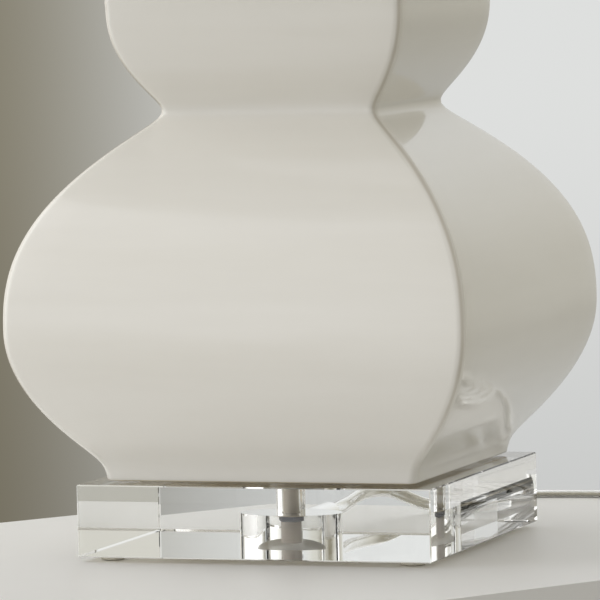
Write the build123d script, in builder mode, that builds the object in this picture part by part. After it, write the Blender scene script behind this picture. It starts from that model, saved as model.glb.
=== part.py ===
from build123d import *
import os
from math import cos, hypot, pi, radians, sin, sqrt, tan

# A square double-gourd table lamp: a glazed hollow body on a clear block, held together by a
# threaded pipe, with harp, shade, finial, switched socket, bulb, and a clear twin cord with its plug.
# Millimetres. Z is the lamp's axis, z = 0 is the table, and the front is -Y.

# Fits
FIT = 0.1
RUNNING_FIT = 0.08
LOOSE_FIT = 0.3
SKIN_GAP = 0.1

# Clear block and its feet
BLOCK_WIDTH = 150.0
BLOCK_THICK = 29.4
BLOCK_BEVEL = 0.5
FOOT_DIA = 10.0
FOOT_HEIGHT = 2.0
FOOT_INSET = 11.0
FOOT_ROUND = 0.6
WELL_DIA = 43.4
WELL_DEPTH = 14.0
CHANNEL_WIDTH = 10.0
CHANNEL_HEIGHT = 13.0

# Pipe and what it clamps in the well
PIPE_DIA = 10.0
PIPE_WALL = 1.4
PIPE_TAIL = 2.0
PIPE_HOLE_CLEARANCE = 1.15
WASHER_DIA = 28.0
WASHER_THICK = 1.2
NUT_FLATS = 14.0
NUT_HEIGHT = 2.9
BUSHING_WALL = 1.4
BUSHING_LIFT = 1.0
BUSHING_SLOT_HEIGHT = 5.2
BUSHING_SLOT_CLEARANCE = 0.4

# Glazed body: widths across the flats, and heights above its foot
BODY_HEIGHT = 256.0
BODY_WALL = 6.0
BODY_EDGE_ROUND = 5.5
BODY_FOOT_WIDTH = 130.5
BODY_TUCK_WIDTH = 114.0
BELLY_WIDTH = 194.0
BELLY_LEVEL = 63.2
BELLY_LOWER_POWER = 2.0
BELLY_UPPER_POWER = 2.45
NECK_WIDTH = 92.0
NECK_LEVEL = 148.2
SHOULDER_WIDTH = 125.7
SHOULDER_LEVEL = 191.9
SHOULDER_POWER = 2.25
COLLAR_WIDTH = 44.0
FOOT_BLEND = 4.7
NECK_BLEND = 9.6
COLLAR_BLEND = 6.0
BODY_SECTIONS = 37
BODY_FOOT_HOLE_DIA = 16.0
BODY_TOP_HOLE_DIA = 30.0
PAD_THICK = 0.8
PAD_INSET = 9.0

# Metal cap and turned neck above the body
CAP_WIDTH = 52.0
CAP_THICK = 2.6
CAP_EDGE_ROUND = 6.0
CAP_STEP_DIA = 34.0
CAP_STEP_HEIGHT = 3.0
CAP_SPIGOT_DEPTH = 5.0
NECK_RING_HEIGHT = 20.0
NECK_RING_DIA = 19.0
NECK_RING_WAIST_DIA = 13.5

# Harp, its saddle and its locking sleeves
SADDLE_THICK = 1.6
SADDLE_WIDTH = 13.0
SADDLE_SEAT = 44.0
SADDLE_RISE = 12.0
POST_SPAN = 76.0
POST_WIDTH = 6.0
POST_HEIGHT = 32.0
HARP_WIRE = 3.4
HARP_HEIGHT = 230.0
HARP_WIDTH = 122.0
HARP_FOOT_GAP = 2.0
HARP_STRAIGHT = 52.0
HARP_FLARE_RISE = 41.0
HARP_SHOULDER_DROP = 62.0
HARP_CROWN_WIDTH = 44.0
HARP_BEND = 20.0
SLEEVE_LENGTH = 16.0
SLEEVE_WALL = 1.0
STUD_DIA = 6.35
STUD_LENGTH = 13.0
STUD_PLATE_DIA = 16.0
STUD_PLATE_THICK = 3.2

# Switched socket
COLLAR_DIA = 14.0
COLLAR_HEIGHT = 9.0
SOCKET_WALL = 0.9
SOCKET_RIM_HEIGHT = 9.0
SOCKET_BOWL_HEIGHT = 9.0
SHELL_SEAT = 1.5
SHELL_HEIGHT = 49.0
SHELL_WALL = 0.6
LINER_WALL = 0.8
LINER_SHORT = 2.0
LINER_CLEARANCE = 0.6
SWITCH_BODY_HEIGHT = 26.0
SWITCH_FLAT_DEPTH = 2.4
SCREW_SHELL_CLEARANCE = 0.3
SCREW_SHELL_WALL = 0.5
SCREW_SHELL_HEIGHT = 20.0
CONTACT_DIA = 7.0
CONTACT_HEIGHT = 3.5
TERMINAL_SCREW_DIA = 6.0
TERMINAL_SCREW_HEAD = 1.6
SET_SCREW_DIA = 3.0
KNOB_SHAFT_DIA = 4.0
KNOB_SHAFT_OUT = 9.0
KNOB_DIA = 9.0
KNOB_WAIST_DIA = 6.4
KNOB_LENGTH = 17.0
KNOB_GAP = 1.0
KNOB_RISE = 7.0
SHAFT_HOLE_CLEARANCE = 1.0

# Bulb
BULB_TIP_DIA = 9.0
BULB_TIP_HEIGHT = 1.6
BULB_SKIRT_HEIGHT = 4.0
BULB_BASE_DIA = 25.8
BULB_BASE_HEIGHT = 21.0
BULB_THREAD_DEPTH = 0.7
BULB_THREAD_PITCH = 3.63
BULB_THREAD_LEAD = 2.5
BULB_DIA = 60.0
BULB_LENGTH = 109.0
BULB_WALL = 0.9
BULB_NECK_DIA = 27.0
BULB_CHEEK_ANGLE = 38.0
STEM_FOOT_DIA = 13.5
STEM_TOP_DIA = 8.0
STEM_DISC_DIA = 19.0
STEM_DISC_THICK = 1.6
STEM_RODS = 4
STEM_ROD_DIA = 3.2
STEM_ROD_CIRCLE_DIA = 16.0
STEM_ROD_LENGTH = 30.0
STEM_ROD_DROP = 10.0

# Shade
SHADE_TOP_DIA = 330.0
SHADE_BOTTOM_DIA = 379.0
SHADE_HEIGHT = 255.0
SHADE_DROP = 14.0
LINEN_THICK = 0.7
LINER_SKIN = 0.6
TRIM_HEIGHT = 9.0
TRIM_THICK = 0.5
TRIM_INSIDE = 3.0
RING_WIRE = 3.0
RING_INSET = 3.4
SPIDER_ARMS = 3
SPIDER_EYE_DIA = 24.0
SPIDER_EYE_THICK = 1.6
SPIDER_EYE_CLEARANCE = 0.4
SPIDER_KNEE = 26.0

# Finial
FINIAL_BALL_DIA = 30.0
FINIAL_BASE_DIA = 17.0
FINIAL_WAIST_DIA = 11.5
FINIAL_WAIST_HEIGHT = 7.2
FINIAL_LIP = 2.0
FINIAL_FLARE = 0.6
FINIAL_ROOF = 3.0
FINIAL_INSERT_DIA = 9.0
FINIAL_INSERT_LIFT = 2.0
FINIAL_FLAT = 1.6

# Cord: a clear flat twin, its width and its thickness
CORD_WIDTH = 5.6
CORD_THICK = 2.8
CORD_LIFT = 2.4
CORD_BEND = 6.0
CORD_ARC_SHARE = 0.45
EXIT_LEVEL = 10.5
COIL_X = 139.0
COIL_BEHIND_BLOCK = 65.0
COIL_RADIUS = 46.5
COIL_GAP = 2.0
COIL_HALF_TURNS = 8
TIE_THICK = 0.7
TIE_WIDTH = 4.0
TIE_CLEARANCE = 0.4
TIE_SLACK = 1.3
TIE_LIFT = 0.1
PLUG_LENGTH = 26.0
PLUG_WIDTH = 21.0
PLUG_THICK = 13.6
PLUG_ROUND = 4.0
RELIEF_LENGTH = 20.0
RELIEF_WIDTH = 9.0
RELIEF_ROUND = 2.2
RELIEF_END_WIDTH = 14.8
RELIEF_END_THICK = 12.2
BLADE_SPACING = 12.7
BLADE_WIDTHS = (6.35, 7.9)
BLADE_THICK = 1.5
BLADE_LENGTH = 17.0

# Levels up the lamp's axis
BLOCK_BOTTOM = FOOT_HEIGHT
BLOCK_TOP = BLOCK_BOTTOM + BLOCK_THICK
WELL_CEILING = BLOCK_BOTTOM + WELL_DEPTH
NUT_TOP = WELL_CEILING - WASHER_THICK
NUT_BOTTOM = NUT_TOP - NUT_HEIGHT
PIPE_BOTTOM = NUT_BOTTOM - PIPE_TAIL
BUSHING_BOTTOM = BLOCK_BOTTOM + BUSHING_LIFT
CORD_LOW = BUSHING_BOTTOM + CORD_LIFT
BODY_BOTTOM = BLOCK_TOP + PAD_THICK
BODY_TOP = BODY_BOTTOM + BODY_HEIGHT
CAP_TOP = BODY_TOP + CAP_THICK + CAP_STEP_HEIGHT
SADDLE_BOTTOM = CAP_TOP + NECK_RING_HEIGHT
SADDLE_TOP = SADDLE_BOTTOM + SADDLE_THICK
COLLAR_TOP = SADDLE_TOP + COLLAR_HEIGHT
BOWL_TOP = COLLAR_TOP + SOCKET_BOWL_HEIGHT
SOCKET_RIM = BOWL_TOP + SOCKET_RIM_HEIGHT
KNOB_AXIS = SOCKET_RIM + KNOB_RISE
SHELL_BOTTOM = BOWL_TOP + SHELL_SEAT
SHELL_TOP = SHELL_BOTTOM + SHELL_HEIGHT
PIPE_TOP = COLLAR_TOP - SOCKET_WALL
HARP_FOOT = SADDLE_TOP + SADDLE_RISE + HARP_FOOT_GAP
HARP_TOP = SADDLE_BOTTOM + HARP_HEIGHT
STUD_SEAT = HARP_TOP + HARP_WIRE / 2 + STUD_PLATE_THICK / 2
EYE_TOP = STUD_SEAT + SPIDER_EYE_THICK
SHADE_TOP = EYE_TOP + SHADE_DROP
SHADE_BOTTOM = SHADE_TOP - SHADE_HEIGHT
STUD_TOP = EYE_TOP + STUD_LENGTH
FINIAL_BASE_TOP = STUD_TOP + FINIAL_ROOF

# Radii that several pieces share
PIPE_FIT_RADIUS = PIPE_DIA / 2 + FIT
PIPE_BORE = PIPE_DIA - 2 * PIPE_WALL
BUSHING_RADIUS = PIPE_FIT_RADIUS + BUSHING_WALL
SCREW_SHELL_BORE = BULB_BASE_DIA + 2 * SCREW_SHELL_CLEARANCE
LINER_RADIUS = SCREW_SHELL_BORE / 2 + SCREW_SHELL_WALL + LINER_CLEARANCE + LINER_WALL
SHELL_RADIUS = LINER_RADIUS + FIT + SHELL_WALL
SOCKET_INSIDE = SHELL_RADIUS + FIT
SOCKET_RADIUS = SOCKET_INSIDE + SOCKET_WALL
SWITCH_RADIUS = SCREW_SHELL_BORE / 2
SHAFT_HOLE_RADIUS = KNOB_SHAFT_DIA / 2 + RUNNING_FIT
HARP_END_X = POST_SPAN / 2 - SADDLE_THICK / 2 - HARP_WIRE / 2 - LOOSE_FIT
SLEEVE_X = (POST_SPAN / 2 + SADDLE_THICK / 2 + HARP_END_X - HARP_WIRE / 2) / 2
SLEEVE_BORE_RADIUS = hypot(POST_SPAN / 2 + SADDLE_THICK / 2 - SLEEVE_X, POST_WIDTH / 2) + LOOSE_FIT
LOW = (Align.CENTER, Align.CENTER, Align.MIN)

# The switch body sits in the sloping bowl of the socket cap, and the bulb above it
BOWL_SLOPE = SOCKET_BOWL_HEIGHT / (SOCKET_INSIDE - PIPE_FIT_RADIUS)
SWITCH_BOTTOM = COLLAR_TOP + BOWL_SLOPE * (SWITCH_RADIUS - PIPE_FIT_RADIUS) + FIT
SWITCH_TOP = SWITCH_BOTTOM + SWITCH_BODY_HEIGHT
CONTACT_TOP = SWITCH_TOP + CONTACT_HEIGHT
BULB_BOTTOM = CONTACT_TOP + FIT
BULB_TOP = BULB_BOTTOM + BULB_LENGTH

os.makedirs("parts", exist_ok=True)


def smooth_max(first, second, blend):
    """The larger of two widths, with the corner between them rounded off."""
    return (first + second + sqrt((first - second) ** 2 + blend**2)) / 2


def body_half_width(level):
    """Half the body's width at a level above its foot: two bulges that run together at the neck."""
    foot = BODY_FOOT_WIDTH / 2
    belly = BELLY_WIDTH / 2
    neck = NECK_WIDTH / 2 - NECK_BLEND / 2
    shoulder = SHOULDER_WIDTH / 2
    if level < BELLY_LEVEL:
        below = (BELLY_LEVEL - level) / BELLY_LEVEL
        tucked = belly - (belly - BODY_TUCK_WIDTH / 2) * below**BELLY_LOWER_POWER
        lower = smooth_max(tucked, foot, FOOT_BLEND)
    else:
        above = (level - BELLY_LEVEL) / (NECK_LEVEL - BELLY_LEVEL)
        widest = smooth_max(belly, foot, FOOT_BLEND)
        lower = widest - (widest - neck) * above**BELLY_UPPER_POWER
    away = abs(SHOULDER_LEVEL - level) / (SHOULDER_LEVEL - NECK_LEVEL)
    upper = shoulder - (shoulder - neck) * away**SHOULDER_POWER
    if level > SHOULDER_LEVEL:
        upper = smooth_max(upper, COLLAR_WIDTH / 2, COLLAR_BLEND)
    return smooth_max(lower, upper, NECK_BLEND)


def body_levels(start, end):
    """Evenly spaced levels for the body's sections."""
    step = (end - start) / (BODY_SECTIONS - 1)
    return [start + step * k for k in range(BODY_SECTIONS)]


def route_radii(points):
    """Bend radius at each inner point of a cord's route: as large as its two runs allow."""
    radii = []
    for before, here, after in zip(points, points[1:], points[2:]):
        first = Vector(*here) - Vector(*before)
        second = Vector(*after) - Vector(*here)
        turn = radians(first.get_angle(second))
        radii.append(CORD_ARC_SHARE * min(first.length, second.length) / tan(turn / 2))
    return radii


def shade_radius(level):
    """Outer radius of the shade's linen at a level."""
    share = (level - SHADE_BOTTOM) / SHADE_HEIGHT
    return (SHADE_BOTTOM_DIA + (SHADE_TOP_DIA - SHADE_BOTTOM_DIA) * share) / 2


# Clear block, with its well, cord channel and pipe hole
with BuildPart() as acrylic_block:
    with Locations((0, 0, BLOCK_BOTTOM)):
        Box(BLOCK_WIDTH, BLOCK_WIDTH, BLOCK_THICK, align=LOW)
    chamfer(acrylic_block.edges(), BLOCK_BEVEL)
    with BuildSketch(Plane.XY.offset(BLOCK_BOTTOM)):
        Circle(WELL_DIA / 2)
    extrude(amount=WELL_DEPTH, mode=Mode.SUBTRACT)
    with BuildSketch(Plane.XZ.offset(-BLOCK_WIDTH / 2)):
        with Locations((0, BLOCK_BOTTOM)):
            Rectangle(CHANNEL_WIDTH, CHANNEL_HEIGHT - CHANNEL_WIDTH / 2, align=(Align.CENTER, Align.MIN))
        with Locations((0, BLOCK_BOTTOM + CHANNEL_HEIGHT - CHANNEL_WIDTH / 2)):
            Circle(CHANNEL_WIDTH / 2)
    extrude(amount=BLOCK_WIDTH / 2, mode=Mode.SUBTRACT)
    with BuildSketch(Plane.XY.offset(BLOCK_BOTTOM)):
        Circle(PIPE_DIA / 2 + PIPE_HOLE_CLEARANCE)
    extrude(amount=BLOCK_THICK, mode=Mode.SUBTRACT)
acrylic_block.part.label = "acrylic_block"
export_step(acrylic_block.part, "parts/acrylic_block.step")

# Four soft bumper feet
with BuildPart() as bumper_feet:
    foot_spacing = BLOCK_WIDTH - 2 * FOOT_INSET
    with GridLocations(foot_spacing, foot_spacing, 2, 2):
        Cylinder(FOOT_DIA / 2, FOOT_HEIGHT, align=LOW)
    fillet(bumper_feet.edges().group_by(Axis.Z)[0], FOOT_ROUND)
bumper_feet.part.label = "bumper_feet"
export_step(bumper_feet.part, "parts/bumper_feet.step")

# Washer and nut that pull the pipe down in the well
with BuildPart() as block_washer:
    with BuildSketch(Plane.XY.offset(NUT_TOP)):
        Circle(WASHER_DIA / 2)
        Circle(PIPE_FIT_RADIUS, mode=Mode.SUBTRACT)
    extrude(amount=WASHER_THICK)
block_washer.part.label = "block_washer"
export_step(block_washer.part, "parts/block_washer.step")

with BuildPart() as base_nut:
    with BuildSketch(Plane.XY.offset(NUT_BOTTOM)):
        RegularPolygon(NUT_FLATS / 2, 6, major_radius=False)
        Circle(PIPE_FIT_RADIUS, mode=Mode.SUBTRACT)
    extrude(amount=NUT_HEIGHT)
base_nut.part.label = "base_nut"
export_step(base_nut.part, "parts/base_nut.step")

# Bushing on the pipe's tail, slotted towards the back for the cord
with BuildPart() as cord_bushing:
    with BuildSketch(Plane.XY.offset(BUSHING_BOTTOM)):
        Circle(BUSHING_RADIUS)
        Circle(PIPE_BORE / 2, mode=Mode.SUBTRACT)
    extrude(amount=NUT_BOTTOM - BUSHING_BOTTOM)
    with BuildSketch(Plane.XY.offset(PIPE_BOTTOM)):
        Circle(PIPE_FIT_RADIUS)
    extrude(amount=PIPE_TAIL, mode=Mode.SUBTRACT)
    with BuildSketch(Plane.XY.offset(BUSHING_BOTTOM)):
        slot_width = CORD_WIDTH + 2 * BUSHING_SLOT_CLEARANCE
        Rectangle(slot_width, 2 * BUSHING_RADIUS, align=(Align.CENTER, Align.MIN))
    extrude(amount=BUSHING_SLOT_HEIGHT, mode=Mode.SUBTRACT)
cord_bushing.part.label = "cord_bushing"
export_step(cord_bushing.part, "parts/cord_bushing.step")

# Threaded pipe from the well to the socket
with BuildPart() as lamp_pipe:
    with BuildSketch(Plane.XY.offset(PIPE_BOTTOM)):
        Circle(PIPE_DIA / 2)
        Circle(PIPE_BORE / 2, mode=Mode.SUBTRACT)
    extrude(amount=PIPE_TOP - PIPE_BOTTOM)
lamp_pipe.part.label = "lamp_pipe"
export_step(lamp_pipe.part, "parts/lamp_pipe.step")

# Thin pad between the block and the body
with BuildPart() as body_pad:
    with BuildSketch(Plane.XY.offset(BLOCK_TOP)):
        pad_width = BODY_FOOT_WIDTH - 2 * PAD_INSET
        RectangleRounded(pad_width, pad_width, BODY_EDGE_ROUND)
        Circle(BODY_FOOT_HOLE_DIA / 2, mode=Mode.SUBTRACT)
    extrude(amount=PAD_THICK)
body_pad.part.label = "body_pad"
export_step(body_pad.part, "parts/body_pad.step")

# Hollow glazed body
with BuildPart() as ceramic_body:
    for level in body_levels(0, BODY_HEIGHT):
        with BuildSketch(Plane.XY.offset(BODY_BOTTOM + level)):
            width = 2 * body_half_width(level)
            RectangleRounded(width, width, BODY_EDGE_ROUND)
    loft()
    for level in body_levels(BODY_WALL, BODY_HEIGHT - BODY_WALL):
        with BuildSketch(Plane.XY.offset(BODY_BOTTOM + level)):
            width = 2 * (body_half_width(level) - BODY_WALL)
            RectangleRounded(width, width, BODY_EDGE_ROUND)
    loft(mode=Mode.SUBTRACT)
    with BuildSketch(Plane.XY.offset(BODY_BOTTOM)):
        Circle(BODY_FOOT_HOLE_DIA / 2)
    extrude(amount=BODY_WALL, mode=Mode.SUBTRACT)
    with BuildSketch(Plane.XY.offset(BODY_TOP)):
        Circle(BODY_TOP_HOLE_DIA / 2)
    extrude(amount=-BODY_WALL, mode=Mode.SUBTRACT)
ceramic_body.part.label = "ceramic_body"
export_step(ceramic_body.part, "parts/ceramic_body.step")

# Square metal cap with a round step above and a spigot in the body's mouth
with BuildPart() as vase_cap:
    with BuildSketch(Plane.XY.offset(BODY_TOP)):
        RectangleRounded(CAP_WIDTH, CAP_WIDTH, CAP_EDGE_ROUND)
    extrude(amount=CAP_THICK)
    fillet(vase_cap.edges().group_by(Axis.Z)[-1], CAP_THICK / 3)
    with BuildSketch(Plane.XY.offset(BODY_TOP + CAP_THICK)):
        Circle(CAP_STEP_DIA / 2)
    extrude(amount=CAP_STEP_HEIGHT)
    fillet(vase_cap.edges().group_by(Axis.Z)[-1], CAP_STEP_HEIGHT / 3)
    with BuildSketch(Plane.XY.offset(BODY_TOP)):
        Circle(BODY_TOP_HOLE_DIA / 2 - LOOSE_FIT)
    extrude(amount=-CAP_SPIGOT_DEPTH)
    with BuildSketch(Plane.XY.offset(BODY_TOP - CAP_SPIGOT_DEPTH)):
        Circle(PIPE_FIT_RADIUS)
    extrude(amount=CAP_SPIGOT_DEPTH + CAP_THICK + CAP_STEP_HEIGHT, mode=Mode.SUBTRACT)
vase_cap.part.label = "vase_cap"
export_step(vase_cap.part, "parts/vase_cap.step")

# Turned neck ring under the harp saddle
with BuildPart() as neck_ring:
    with BuildSketch(Plane.XZ):
        with BuildLine():
            outer_low = (NECK_RING_DIA / 2, CAP_TOP)
            outer_high = (NECK_RING_DIA / 2, SADDLE_BOTTOM)
            waist = (NECK_RING_WAIST_DIA / 2, (CAP_TOP + SADDLE_BOTTOM) / 2)
            ThreePointArc(outer_low, waist, outer_high)
            Polyline(outer_high, (PIPE_FIT_RADIUS, SADDLE_BOTTOM), (PIPE_FIT_RADIUS, CAP_TOP), outer_low)
        make_face()
    revolve(axis=Axis.Z)
neck_ring.part.label = "neck_ring"
export_step(neck_ring.part, "parts/neck_ring.step")

# Harp saddle: a bent strip with two upright posts
with BuildPart() as harp_saddle:
    post_x = POST_SPAN / 2
    seat_z = SADDLE_BOTTOM + SADDLE_THICK / 2
    knee_z = seat_z + SADDLE_RISE
    with BuildSketch(Plane.XZ):
        with BuildLine():
            seat_x = SADDLE_SEAT / 2
            Polyline((-post_x, knee_z), (-seat_x, seat_z), (seat_x, seat_z), (post_x, knee_z))
        trace(line_width=SADDLE_THICK)
    extrude(amount=SADDLE_WIDTH / 2, both=True)
    with BuildSketch(Plane.XY.offset(knee_z)):
        with GridLocations(POST_SPAN, 0, 2, 1):
            Rectangle(SADDLE_THICK, POST_WIDTH)
    extrude(amount=POST_HEIGHT - SADDLE_RISE)
    with BuildSketch(Plane.XY.offset(SADDLE_BOTTOM)):
        Circle(PIPE_FIT_RADIUS)
    extrude(amount=SADDLE_THICK, mode=Mode.SUBTRACT)
harp_saddle.part.label = "harp_saddle"
export_step(harp_saddle.part, "parts/harp_saddle.step")

# Harp: one bent wire, from post to post over the bulb
with BuildPart() as harp:
    right_side = [
        (HARP_END_X, HARP_FOOT),
        (HARP_END_X, SADDLE_BOTTOM + HARP_STRAIGHT),
        (HARP_WIDTH / 2, SADDLE_BOTTOM + HARP_STRAIGHT + HARP_FLARE_RISE),
        (HARP_WIDTH / 2, HARP_TOP - HARP_SHOULDER_DROP),
        (HARP_CROWN_WIDTH / 2, HARP_TOP),
    ]
    left_side = [(-x, z) for x, z in right_side]
    with BuildLine() as harp_route:
        FilletPolyline(*[(x, 0, z) for x, z in left_side + right_side[::-1]], radius=HARP_BEND)
    with BuildSketch(Plane(harp_route.line @ 0, z_dir=harp_route.line % 0)):
        Circle(HARP_WIRE / 2)
    sweep()
harp.part.label = "harp"
export_step(harp.part, "parts/harp.step")

# Stud plate clipped over the harp's crown, with the stud for the finial
with BuildPart() as harp_stud:
    with BuildSketch(Plane.XY.offset(STUD_SEAT - STUD_PLATE_THICK)):
        Circle(STUD_PLATE_DIA / 2)
    extrude(amount=STUD_PLATE_THICK)
    with BuildSketch(Plane.XY.offset(STUD_SEAT)):
        Circle(STUD_DIA / 2)
    extrude(amount=STUD_TOP - STUD_SEAT)
    chamfer(harp_stud.edges().group_by(Axis.Z)[-1], STUD_DIA / 10)
    with BuildSketch(Plane.YZ.offset(-STUD_PLATE_DIA / 2)):
        with Locations((0, HARP_TOP)):
            Circle(HARP_WIRE / 2 + FIT / 2)
        with Locations((0, HARP_TOP)):
            Rectangle(HARP_WIRE + FIT, STUD_PLATE_THICK, align=(Align.CENTER, Align.MAX))
    extrude(amount=STUD_PLATE_DIA, mode=Mode.SUBTRACT)
harp_stud.part.label = "harp_stud"
export_step(harp_stud.part, "parts/harp_stud.step")

# Two sleeves that lock the harp's ends to the saddle's posts
for side, name in ((-1, "harp_sleeve_left"), (1, "harp_sleeve_right")):
    with BuildPart() as harp_sleeve:
        with BuildSketch(Plane.XY.offset(HARP_FOOT)):
            with Locations((side * SLEEVE_X, 0)):
                Circle(SLEEVE_BORE_RADIUS + SLEEVE_WALL)
                Circle(SLEEVE_BORE_RADIUS, mode=Mode.SUBTRACT)
        extrude(amount=SLEEVE_LENGTH)
    harp_sleeve.part.label = name
    export_step(harp_sleeve.part, f"parts/{name}.step")

# Socket cap: a collar on the pipe, opening into a bowl
with BuildPart() as socket_cap:
    with BuildSketch(Plane.XZ):
        with BuildLine():
            Polyline(
                (PIPE_FIT_RADIUS, SADDLE_TOP),
                (COLLAR_DIA / 2, SADDLE_TOP),
                (COLLAR_DIA / 2, COLLAR_TOP - SOCKET_WALL),
                (SOCKET_RADIUS, BOWL_TOP - SOCKET_WALL),
                (SOCKET_RADIUS, SOCKET_RIM),
                (SOCKET_INSIDE, SOCKET_RIM),
                (SOCKET_INSIDE, BOWL_TOP),
                (PIPE_FIT_RADIUS, COLLAR_TOP),
                close=True,
            )
        make_face()
    revolve(axis=Axis.Z)
    with BuildSketch(Plane.YZ):
        with Locations((0, SADDLE_TOP + COLLAR_HEIGHT / 2)):
            Circle(SET_SCREW_DIA / 2 + FIT)
    extrude(amount=COLLAR_DIA, mode=Mode.SUBTRACT)
socket_cap.part.label = "socket_cap"
export_step(socket_cap.part, "parts/socket_cap.step")

# Set screw in the socket cap's collar
with BuildPart() as cap_set_screw:
    with BuildSketch(Plane.YZ.offset(PIPE_FIT_RADIUS)):
        with Locations((0, SADDLE_TOP + COLLAR_HEIGHT / 2)):
            Circle(SET_SCREW_DIA / 2)
    extrude(amount=COLLAR_DIA / 2 - PIPE_FIT_RADIUS + SET_SCREW_DIA / 2)
    with BuildSketch(cap_set_screw.faces().sort_by(Axis.X)[-1]):
        Rectangle(SET_SCREW_DIA, SET_SCREW_DIA / 5)
    extrude(amount=-SET_SCREW_DIA / 4, mode=Mode.SUBTRACT)
cap_set_screw.part.label = "cap_set_screw"
export_step(cap_set_screw.part, "parts/cap_set_screw.step")

# Outer metal shell and paper liner of the socket, with a hole for the switch shaft
for name, radius, wall, bottom, top in (
    ("socket_shell", SHELL_RADIUS, SHELL_WALL, SHELL_BOTTOM, SHELL_TOP),
    ("socket_liner", LINER_RADIUS, LINER_WALL, SHELL_BOTTOM + FIT, SHELL_TOP - LINER_SHORT),
):
    with BuildPart() as socket_tube:
        with BuildSketch(Plane.XY.offset(bottom)):
            Circle(radius)
            Circle(radius - wall, mode=Mode.SUBTRACT)
        extrude(amount=top - bottom)
        with BuildSketch(Plane.XZ):
            with Locations((0, KNOB_AXIS)):
                Circle(KNOB_SHAFT_DIA / 2 + SHAFT_HOLE_CLEARANCE)
        extrude(amount=SOCKET_RADIUS, mode=Mode.SUBTRACT)
    socket_tube.part.label = name
    export_step(socket_tube.part, f"parts/{name}.step")

# Moulded switch body, with a flat each side for a terminal screw and a bore for the shaft
with BuildPart() as switch_body:
    with BuildSketch(Plane.XY.offset(SWITCH_BOTTOM)):
        Circle(SWITCH_RADIUS)
        with GridLocations(2 * SWITCH_RADIUS, 0, 2, 1):
            Rectangle(2 * SWITCH_FLAT_DEPTH, 2 * SWITCH_RADIUS, mode=Mode.SUBTRACT)
    extrude(amount=SWITCH_BODY_HEIGHT)
    with BuildSketch(Plane.XZ):
        with Locations((0, KNOB_AXIS)):
            Circle(SHAFT_HOLE_RADIUS)
    extrude(amount=SWITCH_RADIUS, mode=Mode.SUBTRACT)
switch_body.part.label = "switch_body"
export_step(switch_body.part, "parts/switch_body.step")

# Two terminal screws on the switch body's flats
with BuildPart() as terminal_screws:
    flat_x = SWITCH_RADIUS - SWITCH_FLAT_DEPTH
    for side in (-1, 1):
        with BuildSketch(Plane.YZ.offset(side * flat_x)):
            with Locations((0, SWITCH_BOTTOM + TERMINAL_SCREW_DIA)):
                Circle(TERMINAL_SCREW_DIA / 2)
        extrude(amount=side * TERMINAL_SCREW_HEAD)
terminal_screws.part.label = "terminal_screws"
export_step(terminal_screws.part, "parts/terminal_screws.step")

# Threaded shell and centre contact that take the bulb
with BuildPart() as screw_shell:
    with BuildSketch(Plane.XY.offset(SWITCH_TOP)):
        Circle(SCREW_SHELL_BORE / 2 + SCREW_SHELL_WALL)
        Circle(SCREW_SHELL_BORE / 2, mode=Mode.SUBTRACT)
    extrude(amount=SCREW_SHELL_HEIGHT)
    with BuildSketch(Plane.XY.offset(SWITCH_TOP)):
        Circle(SCREW_SHELL_BORE / 2)
        Circle(CONTACT_DIA, mode=Mode.SUBTRACT)
    extrude(amount=SCREW_SHELL_WALL)
screw_shell.part.label = "screw_shell"
export_step(screw_shell.part, "parts/screw_shell.step")

with BuildPart() as centre_contact:
    with BuildSketch(Plane.XY.offset(SWITCH_TOP)):
        Circle(CONTACT_DIA / 2)
    extrude(amount=CONTACT_HEIGHT)
    fillet(centre_contact.edges().group_by(Axis.Z)[-1], CONTACT_HEIGHT / 5)
centre_contact.part.label = "centre_contact"
export_step(centre_contact.part, "parts/centre_contact.step")

# Switch shaft and its turned knob, towards the front
SHAFT_OUTER = SOCKET_RADIUS + KNOB_SHAFT_OUT
KNOB_START = SOCKET_RADIUS + KNOB_GAP
with BuildPart() as switch_shaft:
    with BuildSketch(Plane.XZ.offset(FIT)):
        with Locations((0, KNOB_AXIS)):
            Circle(KNOB_SHAFT_DIA / 2)
    extrude(amount=SHAFT_OUTER - FIT)
switch_shaft.part.label = "switch_shaft"
export_step(switch_shaft.part, "parts/switch_shaft.step")

with BuildPart() as switch_knob:
    with BuildSketch(Plane.YZ):
        with BuildLine():
            knob_end = KNOB_START + KNOB_LENGTH
            crown = knob_end - KNOB_DIA / 2
            Polyline((-KNOB_START, KNOB_AXIS), (-KNOB_START, KNOB_AXIS + KNOB_DIA / 2))
            ThreePointArc(
                (-KNOB_START, KNOB_AXIS + KNOB_DIA / 2),
                (-(KNOB_START + crown) / 2, KNOB_AXIS + KNOB_WAIST_DIA / 2),
                (-crown, KNOB_AXIS + KNOB_DIA / 2),
            )
            ThreePointArc(
                (-crown, KNOB_AXIS + KNOB_DIA / 2),
                (-crown - KNOB_DIA / 2 * sin(pi / 4), KNOB_AXIS + KNOB_DIA / 2 * cos(pi / 4)),
                (-knob_end, KNOB_AXIS),
            )
            Line((-knob_end, KNOB_AXIS), (-KNOB_START, KNOB_AXIS))
        make_face()
    revolve(axis=Axis((0, 0, KNOB_AXIS), (0, 1, 0)))
    with BuildSketch(Plane.XZ.offset(KNOB_START)):
        with Locations((0, KNOB_AXIS)):
            Circle(KNOB_SHAFT_DIA / 2 + FIT / 2)
    extrude(amount=SHAFT_OUTER - KNOB_START, mode=Mode.SUBTRACT)
switch_knob.part.label = "switch_knob"
export_step(switch_knob.part, "parts/switch_knob.step")

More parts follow.
